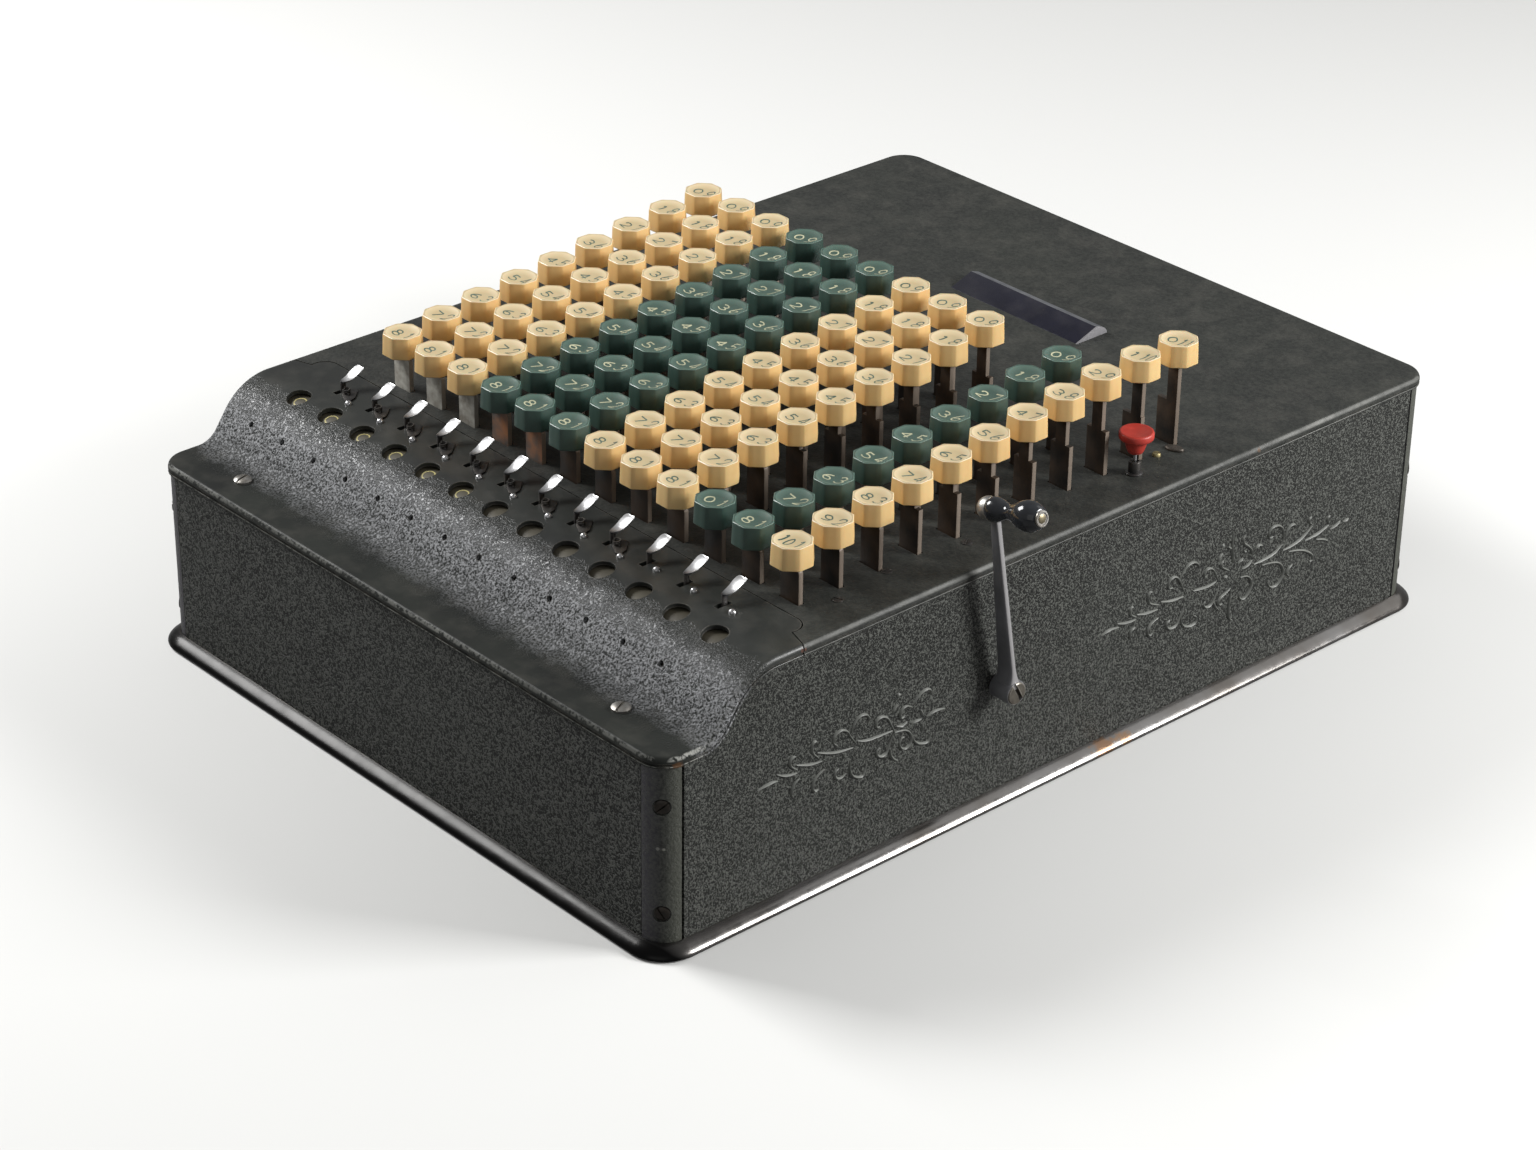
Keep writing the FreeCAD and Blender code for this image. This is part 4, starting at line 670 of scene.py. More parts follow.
def plateSlots():
    slots = []
    for column, rows in enumerate(machine["rows"]):
        x = columnPlace(column)
        for y in map(rowPlace, range(rows)):
            slots.append(slotCutter(x - keySlot["halfX"], y - keySlot["halfY"], x + keySlot["halfX"],
                                    y + keySlot["halfY"]))
    return slots


def squareTo(degrees):
    # the direction that stands square on the cover where it slopes by degrees
    return 0, -math.sin(math.radians(degrees)), math.cos(math.radians(degrees))


# front cover, cut at the seam and opened for the wheels, the levers and the pin holes
cover = addPiece("frontCover", [shellShape(coverStations(), -1)], paint["coverEnamel"], "case",
                 ["front_cover"])
behind = [(-cut["side"], cut["behind"]), (cut["side"], cut["behind"])]
cutters = [prism(seamLine(0.0) + behind, cut["seamLow"], cut["seamHigh"])]
windowAxis = squareTo(window["tilt"])
windowY = machine["crestY"] + machine["crestRadius"] * windowAxis[1]
windowZ = machine["plateTop"] - machine["crestRadius"] + machine["crestRadius"] * windowAxis[2]
windowX = [window["firstX"] + k * machine["columnPitch"] for k in range(window["count"])]
for x in windowX:
    cutters.append(moved(drill(window["radius"], cut["deep"], 40), (x, windowY, windowZ), windowAxis))
for k in range(window["count"]):
    place = (pinHole["firstX"] + k * machine["columnPitch"], pinHole["y"], pinHole["z"])
    cutters.append(moved(drill(pinHole["radius"], cut["deep"], 14), place, squareTo(machine["slopeAngle"])))
leverX = [columnPlace(column) + leverSlot["offset"] for column in range(len(machine["rows"]))]
for x in leverX:
    cutters.append(slotCutter(x - leverSlot["halfWidth"], leverSlot["front"], x + leverSlot["halfWidth"],
                              leverSlot["rear"]))
carve(cover, cutters)

# key plate with a slot for every stem
plateStations = [(machine["seamY"] - sheet["plateOverlap"], machine["plateTop"], 0, 1),
                 (0, machine["plateTop"], 0, 1)]
plate = addPiece("keyPlate", [shellShape(plateStations, 1)], paint["smoothEnamel"], "case",
                 ["key_plate"])
ahead = [(-cut["side"], cut["ahead"]), (cut["side"], cut["ahead"])]
carve(plate, [prism(seamLine(seam["open"]) + ahead, cut["seamLow"], cut["seamHigh"])] + plateSlots()
      + [moved(drill(buttonHole, 2 * cut["deep"], 20),
               (machine["buttonX"], machine["buttonY"], machine["plateTop"]))])
print("cover and plate carved")

# thin rolled lip round each window
lipRing = turned(windowLip, 40, wrap=True)
lipRing = ([(px, py, pz - py**2 / (2 * machine["crestRadius"])) for px, py, pz in lipRing[0]], lipRing[1])
addPiece("windowLips", [moved(lipRing, (x, windowY, windowZ), windowAxis) for x in windowX],
         paint["coverEnamel"], "case")


# Bead at the base and corner posts
def roundedPath(halfX, halfY, radius, steps):
    # round the four corners: (centre x, centre y, outward x, outward y)
    path = []
    for cx, cy, start in ((1, -1, 270), (1, 1, 0), (-1, 1, 90), (-1, -1, 180)):
        for k in range(steps + 1):
            a = math.radians(start + 90 * k / steps)
            path.append((cx * (halfX - radius), cy * (halfY - radius), math.cos(a), math.sin(a)))
    return path


# (out from the panels, z) round the bead's section, as knots of a soft curve
bead = {"inner": 0.2, "low": 0.4, "steps": 12,
        "knots": [(0.2, 4.9), (1.4, 4.45), (2.7, 3.75), (3.8, 2.95), (4.6, 2.2), (5.08, 1.5), (5.15, 0.95),
                  (4.95, 0.55), (4.6, 0.4)]}


def beadShape():
    section = [(bead["inner"], bead["low"])] + smoothLine(bead["knots"], 2)[::-1]
    radius = machine["cornerRadius"]
    rings = []
    for cx, cy, nx, ny in roundedPath(machine["halfWidth"], machine["halfDepth"], radius, bead["steps"]):
        rings.append([(cx + (radius + out) * nx, cy + (radius + out) * ny, z) for out, z in section])
    return loft(rings, wrap=True)


addPiece("baseBead", [beadShape()], paint["nickelTrim"], "case", ["base_trim"], sharp=35)

# clear is the angle left open beside the side panel, deep and recess are the screws' hollows
post = {"wall": 2.0, "flange": 8.0, "thick": 1.5, "clear": 4.5, "bottom": 4.0, "screws": (56.3, 15.8),
        "recess": 3.15, "deep": 0.75}


def postShape(sideX, sideY):
    radius = machine["cornerRadius"]
    outer = radius - post["thick"]
    inner = outer - post["wall"]
    cx, cy = sideX * (machine["halfWidth"] - radius), sideY * (machine["halfDepth"] - radius)
    outside = arcPoints((0, 0), radius, post["clear"], 90, 16)
    inside = [(outer, 0.0), (outer, -post["flange"]), (inner, -post["flange"]), (inner, 0.0), (0.0, inner),
              (-post["flange"], inner), (-post["flange"], outer), (0.0, outer)]
    plan = [(cx + sideX * a, cy + sideY * b) for a, b in outside + inside[::-1]]
    top = (machine["plateTop"] if sideY > 0 else machine["lipTop"]) - machine["edgeHeight"]
    return prism(plan, post["bottom"], top)


corners = [(-1, -1), (1, -1), (1, 1), (-1, 1)]
posts = addPiece("cornerPosts", [postShape(*corner) for corner in corners], paint["postEnamel"], "case",
                 ["corner_posts"])
diagonal = machine["cornerRadius"] * (1 - math.sqrt(0.5))
sunk = post["deep"] * math.sqrt(0.5)
recess = turned([(post["recess"], -post["deep"]), (post["recess"], 3)], 28)
recesses = []
for sideX, sideY in corners:
    for z in post["screws"]:
        place = (sideX * (machine["halfWidth"] - diagonal), sideY * (machine["halfDepth"] - diagonal), z)
        recesses.append(moved(recess, place, (sideX, sideY, 0)))
carve(posts, recesses, 35)
print("case dressed")


# Scrolls on the side panels
# (y, z) in mm down the middle of each raised stroke, as seen from the right side
scrolls = [
    # front group, the stem and what grows up from it
    [(-145, 48.6), (-142, 49), (-138.5, 49.2), (-136, 48.5)],
    [(-136.5, 51.2), (-134, 49.8), (-131, 48.9), (-127.5, 48.3)],
    [(-128.2, 54.7), (-129.3, 55.2), (-130.5, 54.6), (-131, 53.2), (-129.8, 51.3), (-127.5, 49.5)],
    [(-128, 51.5), (-125.5, 50.5), (-122, 49.3), (-116.5, 48.5)],
    [(-118.9, 56.3), (-119.6, 57.3), (-120.8, 57.2), (-121.3, 55.5), (-120.6, 53), (-118, 50.3)],
    [(-118.7, 52.5), (-114.7, 50.8), (-110, 49.3), (-102.7, 48.2)],
    [(-109.8, 51.8), (-111.5, 53.3), (-111.6, 55.5), (-110, 56.8), (-108, 57), (-105.5, 55.5), (-104, 53),
     (-101, 49)],
    [(-100.7, 50), (-97.3, 48.8), (-92.7, 48.2), (-84.7, 47.7)],
    [(-103.5, 54), (-102.8, 56.7), (-101, 58.8), (-99, 59.3), (-96.8, 58.5), (-95.6, 56.5), (-96.2, 55)],
    [(-90.6, 51.6), (-92, 51.8), (-92.6, 53.2), (-91.8, 54.8), (-90, 55.1), (-87.5, 53.8), (-86, 51.5),
     (-83.5, 46.5)],
    [(-84.8, 54.5), (-84.3, 55.8), (-82.7, 57.2)],
    [(-79, 51.5), (-80.8, 51), (-81.4, 52.8), (-80.5, 54.5), (-78.5, 54.9), (-75.7, 53.3)],
    [(-83, 48.7), (-80.7, 48), (-78, 48.7)],
    [(-75, 54.5), (-73, 56.8), (-70, 58), (-67.8, 57.2), (-66.8, 55.5)],
    [(-71.8, 50.8), (-70.8, 48.5)],
    [(-75.8, 47), (-74, 47.3), (-71.3, 47)],
    [(-69, 47.2), (-66.7, 47.8), (-64, 47.8), (-60.3, 47)],
    # front group, what hangs down
    [(-126.5, 45.8), (-128.5, 45), (-129.8, 43), (-130, 41), (-129, 39.5)],
    [(-115.5, 45), (-118, 44), (-120, 42.3), (-120.7, 40), (-119.8, 38.3), (-118.3, 38.5), (-118, 39.8)],
    [(-109, 42.6), (-110.3, 42), (-110.7, 40.5), (-109.6, 39), (-107.6, 38.6), (-105.5, 39.5)],
    [(-103.8, 44), (-103.8, 40), (-102.5, 37.2), (-100, 35.7), (-98, 35.5), (-97, 37), (-96.3, 38.6)],
    [(-90.2, 43.3), (-91.6, 42.5), (-91.5, 40.8), (-89.8, 39.7), (-87.5, 40), (-86.3, 42), (-84.5, 46)],
    [(-85.5, 41), (-85.3, 38.5), (-83.8, 36.3), (-81.8, 35)],
    [(-83.5, 46.5), (-80, 46), (-77.2, 44.5), (-75.8, 41.8), (-76.5, 39.3), (-78.5, 38.4), (-80.5, 39.3),
     (-81.3, 41.3), (-80.3, 43), (-79, 43)],
    [(-75.5, 44), (-74.8, 40.5), (-73, 38.3), (-70.5, 37.2), (-68.3, 37), (-67.3, 38.3), (-67.2, 39.8)],
    [(-70.8, 45), (-70.5, 42)],
    # rear group, the stem and what grows up from it
    [(15.6, 47), (17.5, 47.7), (20.2, 47.9), (24.5, 47.2)],
    [(23.6, 48.9), (26.1, 48.1), (29.3, 47.5), (33.1, 47.2)],
    [(31.6, 52.4), (30.8, 53.1), (29.8, 52.6), (29.8, 51), (31, 49.5), (33, 48.4)],
    [(33.4, 49), (36.5, 48.1), (40.2, 47.6), (44.3, 47.2)],
    [(41, 55.3), (39.8, 55.9), (38.8, 55), (38.8, 53), (40.2, 51), (45, 48.7)],
    [(45.6, 49.7), (49.3, 48.6), (52.9, 48), (57.5, 47.7)],
    [(51.5, 53.4), (49.8, 53.6), (48.9, 55.3), (49.8, 57.2), (51.8, 57.6), (54, 56.2), (55.8, 53.3),
     (58.8, 47.8)],
    [(55, 55.5), (56.5, 57.8), (58.8, 59.8), (61.2, 60.1), (63.5, 59), (64.8, 57), (64, 55.3)],
    [(69.5, 51.3), (68.2, 51.8), (68, 53.3), (69.3, 54.6), (71.5, 54), (73.3, 52.3), (76, 47.5)],
    [(74.8, 55.5), (75.3, 57), (77, 58.2)],
    [(78, 54.9), (76.8, 54.2), (77.3, 52.5), (81.5, 49.6)],
    [(62.5, 48.1), (65.6, 47.7), (69.7, 47.2), (74.7, 47.5)],
    [(78.4, 47.9), (80.6, 47.9)],
    [(82.6, 64.5), (82, 60.5), (82.8, 55), (83.3, 52)],
    [(83.5, 43), (82.6, 36), (83, 30), (85.5, 27.7)],
    [(80, 59.7), (81.8, 58.4)],
    [(88.9, 61.3), (87.9, 60.2), (88.5, 58.3), (91, 56.2), (93, 54), (93.6, 51.5)],
    [(88.7, 55), (89.8, 54.5)],
    [(85.7, 51.3), (88.6, 52.2)],
    [(88.4, 47.9), (90.9, 48.4), (93.6, 49.7)],
    [(95, 53), (95.4, 54.2), (96.6, 54.7), (98.4, 54), (98.5, 52)],
    [(94.8, 47.5), (99.5, 47.6), (105.5, 48.4), (109.8, 50.6)],
    [(104.5, 55.6), (102.6, 55.5), (101.7, 57.5), (103, 59.4), (105.5, 59.6), (108.3, 58.3), (110, 55.5),
     (110.3, 52.5), (109.3, 50)],
    [(111.3, 53), (111.9, 55.3), (113.8, 56.9), (115.8, 56.6), (116.5, 55), (115.3, 53.7)],
    [(110.5, 47.7), (114.5, 48), (118.6, 48.8), (122.3, 50.2), (126.1, 52.5)],
    [(125.3, 56.5), (124, 56), (124.3, 54.6), (126, 53)],
    [(122.7, 47.6), (127.3, 47.9), (131.4, 48.6), (135.5, 49.7)],
    [(135.7, 53.5), (134.6, 52.9), (134.8, 51.5), (136, 50)],
    [(136.4, 47.5), (139.1, 48), (142, 49.1)],
    [(143.6, 48.1), (146.8, 48.5)],
    # rear group, what hangs down
    [(33, 44.2), (31, 43.6), (30.4, 41.5), (31, 40)],
    [(44.8, 43.6), (42, 42.9), (40, 41.5), (39.6, 39.5), (40.8, 37.8), (42.3, 38.5)],
    [(51.2, 40.4), (49.8, 39.8), (49.6, 38.2), (51.3, 36.8), (53.8, 36.9), (55.5, 38.2), (58.5, 44)],
    [(57.2, 41), (57.2, 37.5), (59, 35), (62, 34), (64.8, 34.5), (65.2, 36.5), (63.8, 37.5)],
    [(69.5, 41.3), (68.7, 40.3), (69.8, 38.8), (72, 38.7), (73.8, 40), (76.5, 44.5)],
    [(83, 42), (80, 40.8), (77.5, 40), (76.5, 38.5), (77.5, 37), (79, 37)],
    [(74, 39.5), (75, 37.3), (77.3, 35)],
    [(88, 44.5), (91.5, 43.8), (93.8, 41.5), (94, 38.5), (92, 35.8), (89.5, 35), (87.8, 36.8), (88.3, 38.8)],
    [(99.5, 45.5), (105, 44.6), (109, 43), (111.2, 40), (111, 36.8), (108.5, 34.3), (105.5, 34.3),
     (103.8, 36), (104.5, 37.5)],
    [(114, 46), (119, 44.8), (123.5, 43), (127, 40.3), (127.8, 38), (126.2, 37.6)],
    [(129, 45.8), (133, 44.5), (136, 42.8)],
    [(116.5, 39.8), (114.5, 39), (113.5, 37.2), (115, 35.8)],
]
# across is (share of the half width, share of the height), thin is how fine the ends are
ridge = {"half": 0.55, "high": 0.85, "thin": 0.12, "dots": [(-82.2, 60.5), (77.1, 61.3)], "dot": 0.8,
         "across": [(-1, -0.2), (-0.6, 0.65), (0, 1), (0.6, 0.65), (1, -0.2)]}


def ridgeShape(points, side):
    # a low rounded ridge along the stroke, thin at both ends
    line = smoothLine(points, 4)
    rings = []
    for i, (y, z) in enumerate(line):
        before, after = line[max(i - 1, 0)], line[min(i + 1, len(line) - 1)]
        dy, dz = after[0] - before[0], after[1] - before[1]
        length = math.hypot(dy, dz)
        swell = math.sin(math.pi * (ridge["thin"] + (1 - 2 * ridge["thin"]) * i / (len(line) - 1)))
        half, high = ridge["half"] * swell, ridge["high"] * swell
        rings.append([(side * (machine["halfWidth"] + lift * high), y - offset * half * dz / length,
                       z + offset * half * dy / length) for offset, lift in ridge["across"]])
    return loft(rings)


dotShape = turned([(ridge["dot"], -0.1), (ridge["dot"] * 0.8, 0.25), (0, ridge["high"])], 12)
# the scrolls' lighter paint is a painted highlight
for name, side in (("scrollsRight", 1), ("scrollsLeft", -1)):
    shapes = [ridgeShape(points, side) for points in scrolls]
    shapes += [moved(dotShape, (side * machine["halfWidth"], y, z), (side, 0, 0)) for y, z in ridge["dots"]]
    addPiece(name, shapes, paint["litScrollEnamel"], "case", sharp=60)
print("scrolls set:", len(scrolls))


# Keys
# foot and edge hold (wider, higher) steps of the cap's outline at its bottom and round its top
cap = {"across": 14.3, "topAcross": 13.6, "height": 8.4, "dish": 1.55, "rimRadius": 6.35, "corner": 0.32,
       "foot": [(-0.8, 0.0), (0.0, 0.4)], "edge": [(0.08, -0.5), (-0.12, -0.16), (-0.5, 0.0)],
       "dishRings": (6.35, 6.1, 5.4, 4.4, 3.2, 1.8)}
# asideNecks has the left and right edge of the necks that aren't in the middle, by row
stem = {"half": 4.5, "neck": 2.4, "thick": 1.9, "shoulder": 112.5, "leastNeck": 1.5, "foot": 38.0,
        "round": 1.3, "asideNecks": {9: (-0.6, 4.2), 10: (-0.3, 4.5)}, "greyColumns": 3, "rustyColumns": 5,
        "bevel": 0.18}
# the two rearmost caps sit off their stems: (right, up) by row
asideCaps = {9: (1.5, 0.0), 10: (2.7, -1.4)}
figureSize = {"small": (2.7, 4.1), "large": (3.4, 4.9), "double": 5.3, "smallPlace": (-2.4, -0.35),
              "largePlace": (2.8, 0.6), "stroke": 0.27, "lift": 0.03, "narrow": 0.66, "gap": 0.75}


def keyPlace(column, row):
    aside, up = asideCaps.get(row, (0.0, 0.0))
    return columnPlace(column) + aside, rowPlace(row), machine["keyTop"] + row * machine["rowRise"] + up


def octagon(across, height):
    # an eight-sided ring of 32 points with slightly rounded corners
    corner = across / 2 / math.cos(math.pi / 8)
    tips = [(corner * math.cos((k + 0.5) * math.pi / 4),
             corner * math.sin((k + 0.5) * math.pi / 4)) for k in range(8)]
    ring = []
    for k in range(8):
        a, b = tips[k], tips[(k + 1) % 8]
        length = math.dist(a, b)
        for share in (cap["corner"] / length, 0.36, 0.64, 1 - cap["corner"] / length):
            ring.append((a[0] + share * (b[0] - a[0]), a[1] + share * (b[1] - a[1]), height))
    return ring


def capShape():
    rings = [octagon(cap["across"] + wider, higher - cap["height"]) for wider, higher in cap["foot"]]
    rings += [octagon(cap["topAcross"] + wider, higher) for wider, higher in cap["edge"]]
    angles = [math.atan2(y, x) for x, y, _ in rings[0]]
    for radius in cap["dishRings"]:
        depth = dishDepth(radius)
        rings.append([(radius * math.cos(a), radius * math.sin(a), depth) for a in angles])
    rings.append([(0, 0, dishDepth(0))])
    return loft(rings)


def dishDepth(radius):
    return -cap["dish"] * max(0.0, 1 - (radius / cap["rimRadius"]) ** 2)


def stemShape(column, row):
    x, y = columnPlace(column), rowPlace(row)
    top = keyPlace(column, row)[2] - cap["height"]
    half, foot, shoulder, soft = stem["half"], stem["foot"], stem["shoulder"], stem["round"]
    left, right = stem["asideNecks"].get(row, (-stem["neck"], stem["neck"]))
    if top < shoulder + stem["leastNeck"]:
        # too short for a neck: the strip has rounded corners under the cap
        outline = [(half, foot), (half, top - 2 * soft), (half - 0.3 * soft, top - 1.3 * soft),
                   (half - soft, top - 0.6 * soft), (half - soft, top + 0.3)]
        outline += [(-px, pz) for px, pz in outline[::-1]]
    else:
        outline = [(half, foot), (half, shoulder), (right, shoulder), (right, top), (left, top),
                   (left, shoulder), (-half, shoulder), (-half, foot)]
        outline = [point for k, point in enumerate(outline) if point != outline[k - 1]]
    front, rear = y - stem["thick"] / 2, y + stem["thick"] / 2
    return loft([[(x + px, depth, pz) for px, pz in outline] for depth in (front, rear)])


# strokes of the figures in a box 0.6 wide and 1 high
strokeBox = (0.6, 1.0)
strokes = {
    "0": [[(0.3, 1), (0.08, 0.8), (0, 0.5), (0.08, 0.2), (0.3, 0), (0.52, 0.2), (0.6, 0.5), (0.52, 0.8),
           (0.3, 1)]],
    "1": [[(0.14, 0.8), (0.32, 1)], [(0.32, 1), (0.32, 0)]],
    "2": [[(0.03, 0.72), (0.12, 0.93), (0.33, 1), (0.54, 0.88), (0.54, 0.66), (0.36, 0.4), (0, 0)],
          [(0, 0), (0.6, 0)]],
    "3": [[(0.04, 0.86), (0.28, 1), (0.53, 0.84), (0.47, 0.6), (0.26, 0.54)],
          [(0.26, 0.54), (0.52, 0.46), (0.6, 0.24), (0.44, 0.04), (0.22, 0), (0, 0.14)]],
    "4": [[(0.44, 0), (0.44, 1)], [(0.44, 1), (0, 0.3)], [(0, 0.3), (0.62, 0.3)]],
    "5": [[(0.54, 1), (0.12, 1)], [(0.12, 1), (0.07, 0.56)],
          [(0.07, 0.56), (0.3, 0.64), (0.54, 0.5), (0.58, 0.26), (0.42, 0.05), (0.18, 0), (0, 0.12)]],
    "6": [[(0.5, 0.98), (0.22, 0.8), (0.04, 0.5), (0.03, 0.22), (0.28, 0), (0.56, 0.16), (0.57, 0.4),
           (0.34, 0.56), (0.06, 0.4)]],
    "7": [[(0, 1), (0.6, 1)], [(0.6, 1), (0.36, 0.5), (0.24, 0)]],
    "8": [[(0.3, 0.54), (0.08, 0.66), (0.1, 0.9), (0.3, 1), (0.5, 0.9), (0.52, 0.66), (0.3, 0.54)],
          [(0.3, 0.54), (0.04, 0.42), (0.03, 0.14), (0.3, 0), (0.57, 0.14), (0.56, 0.42), (0.3, 0.54)]],
    "9": [[(0.1, 0.02), (0.38, 0.2), (0.56, 0.5), (0.57, 0.78), (0.32, 1), (0.04, 0.84), (0.03, 0.6),
           (0.26, 0.44), (0.54, 0.6)]],
}


def figureShapes(figure, place, size, surface, stroke):
    # the figure's strokes as thin raised ribbons that follow surface(x, y)
    shapes = []
    lift = figureSize["lift"]
    wide, high = strokeBox
    for line in strokes[figure]:
        points = [(place[0] + (x - wide / 2) * size[0] / wide, place[1] + (y - high / 2) * size[1] / high)
                  for x, y in line]
        points = smoothLine(points, 4 if len(points) > 2 else 3)
        rings = []
        for i, (x, y) in enumerate(points):
            before, after = points[max(i - 1, 0)], points[min(i + 1, len(points) - 1)]
            dx, dy = after[0] - before[0], after[1] - before[1]
            length = math.hypot(dx, dy) or 1.0
            nx, ny = -dy / length * stroke, dx / length * stroke
            ends = [(x + nx, y + ny), (x - nx, y - ny)]
            tops = [(px, py, surface(px, py) + lift) for px, py in ends]
            rings.append(tops + [(px, py, pz - 3 * lift) for px, py, pz in tops[::-1]])
        shapes.append(loft(rings))
    return shapes


def figureNames(column, row):
    # the large figure counts up from 1, the small one down to 0
    rows = machine["rows"][column]
    return str(rows - 1 - row), str(row + 1)


def capFigures(column, row):
    cx, cy, top = keyPlace(column, row)

    def surface(x, y):
        return top + dishDepth(math.hypot(x - cx, y - cy))

    shapes = []
    for text, kind in zip(figureNames(column, row), ("small", "large")):
        place, (wide, tall) = figureSize[kind + "Place"], figureSize[kind]
        if len(text) > 1:
            wide, tall = wide * figureSize["narrow"], figureSize["double"]
        for i, figure in enumerate(text):
            shift = (i - (len(text) - 1) / 2) * (wide + figureSize["gap"])
            where = (cx + place[0] + shift, cy + place[1])
            shapes += figureShapes(figure, where, (wide, tall), surface, figureSize["stroke"])
    return shapes


capMesh = capShape()
for column, rows in enumerate(machine["rows"]):
    number = f"{column + 1:02d}"
    body, stemNode = f"key_column_{number}", [f"key_stems_{number}"]
    green = column in machine["greenColumns"]
    caps = [moved(capMesh, keyPlace(column, row)) for row in range(rows)]
    addPiece(f"caps{number}", caps, paint["greenCap" if green else "creamCap"], body,
             [f"key_caps_{number}"])
    figures = [shape for row in range(rows) for shape in capFigures(column, row)]
    addPiece(f"figures{number}", figures, paint["paleFigure" if green else "darkFigure"], body)
    # the stems in front have lost their black on the left of the machine
    tint = "stemSteel"
    if column < stem["greyColumns"]:
        tint = "greyStem"
    elif column < stem["rustyColumns"]:
        tint = "rustyStem"
    addPiece(f"frontStem{number}", [stemShape(column, 0)], paint[tint], body, stemNode,
             bevel=stem["bevel"])
    others = [stemShape(column, row) for row in range(1, rows)]
    if others:
        addPiece(f"stems{number}", others, paint["stemSteel"], body, stemNode,
                 bevel=stem["bevel"])
print("keys set:", sum(machine["rows"]))

# Numeral wheels on their shaft: the first six show a ring, the others a bare rim
wheel = {"y": -138.478, "z": 78.955, "radius": 14.7, "faceRadius": 13.6, "bevel": 0.4, "bore": 2.4,
         "half": 5.6, "figures": 10, "ringed": 6, "ring": 2.3, "line": 0.26, "lift": 0.04, "sunk": 0.1,
         "figure": (3.0, 4.6), "stroke": 0.3, "shaft": 2.5}
shaftLow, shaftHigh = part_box("numeral_wheels")
halfDisc = [(wheel["bore"], wheel["half"]), (wheel["faceRadius"], wheel["half"]),
            (wheel["radius"], wheel["half"] - wheel["bevel"])]
disc = turned([(radius, -out) for radius, out in halfDisc] + halfDisc[::-1], 60, wrap=True)
wheels = [moved(disc, (x, wheel["y"], wheel["z"]), (1, 0, 0)) for x in windowX]
shaft = turned([(wheel["shaft"], shaftLow[0] / mm), (wheel["shaft"], shaftHigh[0] / mm)], 32)
wheels.append(moved(shaft, (0, wheel["y"], wheel["z"]), (1, 0, 0)))
addPiece("numeralWheels", wheels, paint["wheelPaint"], "register", ["numeral_wheels"])


def wheelSurface(x, y):
    return math.sqrt(wheel["radius"] ** 2 - y * y)


def onWheel(shape, x, step):
    # shape lies above the wheel's middle and is turned to its place round the rim
    tilt = math.radians(window["tilt"]) + 2 * math.pi * step / wheel["figures"]
    turn = Matrix.Translation((x, wheel["y"], wheel["z"])) @ Matrix.Rotation(tilt, 4, "X")
    return [tuple(turn @ Vector(point)) for point in shape[0]], shape[1]


ringIn, ringOut = wheel["ring"] - wheel["line"], wheel["ring"] + wheel["line"]
flatRing = turned([(ringIn, -wheel["sunk"]), (ringIn, wheel["lift"]), (ringOut, wheel["lift"]),
                   (ringOut, -wheel["sunk"])], 32, wrap=True)
ringMark = ([(px, py, wheelSurface(px, py) + pz) for px, py, pz in flatRing[0]], flatRing[1])
marks = [onWheel(ringMark, x, 0) for x in windowX[:wheel["ringed"]]]
for x in windowX:
    for step in range(1, wheel["figures"]):
        shapes = figureShapes(str(step), (0, 0), wheel["figure"], wheelSurface, wheel["stroke"])
        marks += [onWheel(shape, x, step) for shape in shapes]
addPiece("wheelMarks", marks, paint["wheelMark"], "register", sharp=60)
print("wheels marked:", len(windowX))

# Small levers with their clips and screws
lever = {"neckY": -127.3, "neckHalf": 1, "neckTop": 99.4, "shank": (7, 9), "pivotY": -121.5, "pivotZ": 80.0,
         "thick": 0.9, "hub": 3.2, "hubCorner": (2.6, 2.2), "hubTop": 1, "bore": 1.55, "tip": -128.4,
         "length": 9.5, "low": 99.9, "rise": 3.2, "dish": 0.14}
# the thumb tab from tip to end: share of the length, half width, share of the rise, thickness
leaf = [(0.0, 0.3, 0.0, 0.6), (0.04, 0.8, 0.0, 0.85), (0.2, 1.45, 0.03, 0.9), (0.33, 1.8, 0.09, 0.85),
        (0.45, 2.0, 0.2, 0.8), (0.58, 2.15, 0.41, 0.75), (0.7, 2.25, 0.63, 0.7), (0.85, 2.25, 0.87, 0.6),
        (0.94, 2.05, 0.96, 0.55), (0.985, 1.65, 0.99, 0.5), (1.0, 1.1, 1.0, 0.45)]
# its section: places across the dished top, then (across, share of the thickness) round the underside
leafTop = (-1, -0.6, -0.2, 0.2, 0.6, 1)
leafUnder = [(0.98, 0.5), (0.7, 1), (-0.7, 1), (-0.98, 0.5)]


def bladeShape(x):
    y, z, hub, half = lever["pivotY"], lever["pivotZ"], lever["hub"], lever["thick"] / 2
    front, rear = lever["neckY"] - lever["neckHalf"], lever["neckY"] + lever["neckHalf"]
    out, down = lever["hubCorner"]
    side = [(front, lever["neckTop"]), (front, z + lever["shank"][0]), (y - hub, z + lever["hubTop"]),
            (y - out, z - down), (y, z - hub), (y + out, z - down), (y + hub, z + lever["hubTop"]),
            (rear, z + lever["shank"][1]), (rear, lever["neckTop"])]
    return loft([[(x - half, py, pz) for py, pz in side], [(x + half, py, pz) for py, pz in side]])


def tabShape(x):
    rings = []
    for share, half, lift, thick in leaf:
        y, z = lever["tip"] + share * lever["length"], lever["low"] + lift * lever["rise"]
        dish = lever["dish"] * half
        ring = [(x + u * half, y, z - dish * (1 - u * u)) for u in leafTop]
        ring += [(x + u * half, y, z - depth * thick) for u, depth in leafUnder]
        rings.append(ring)
    return loft(rings)


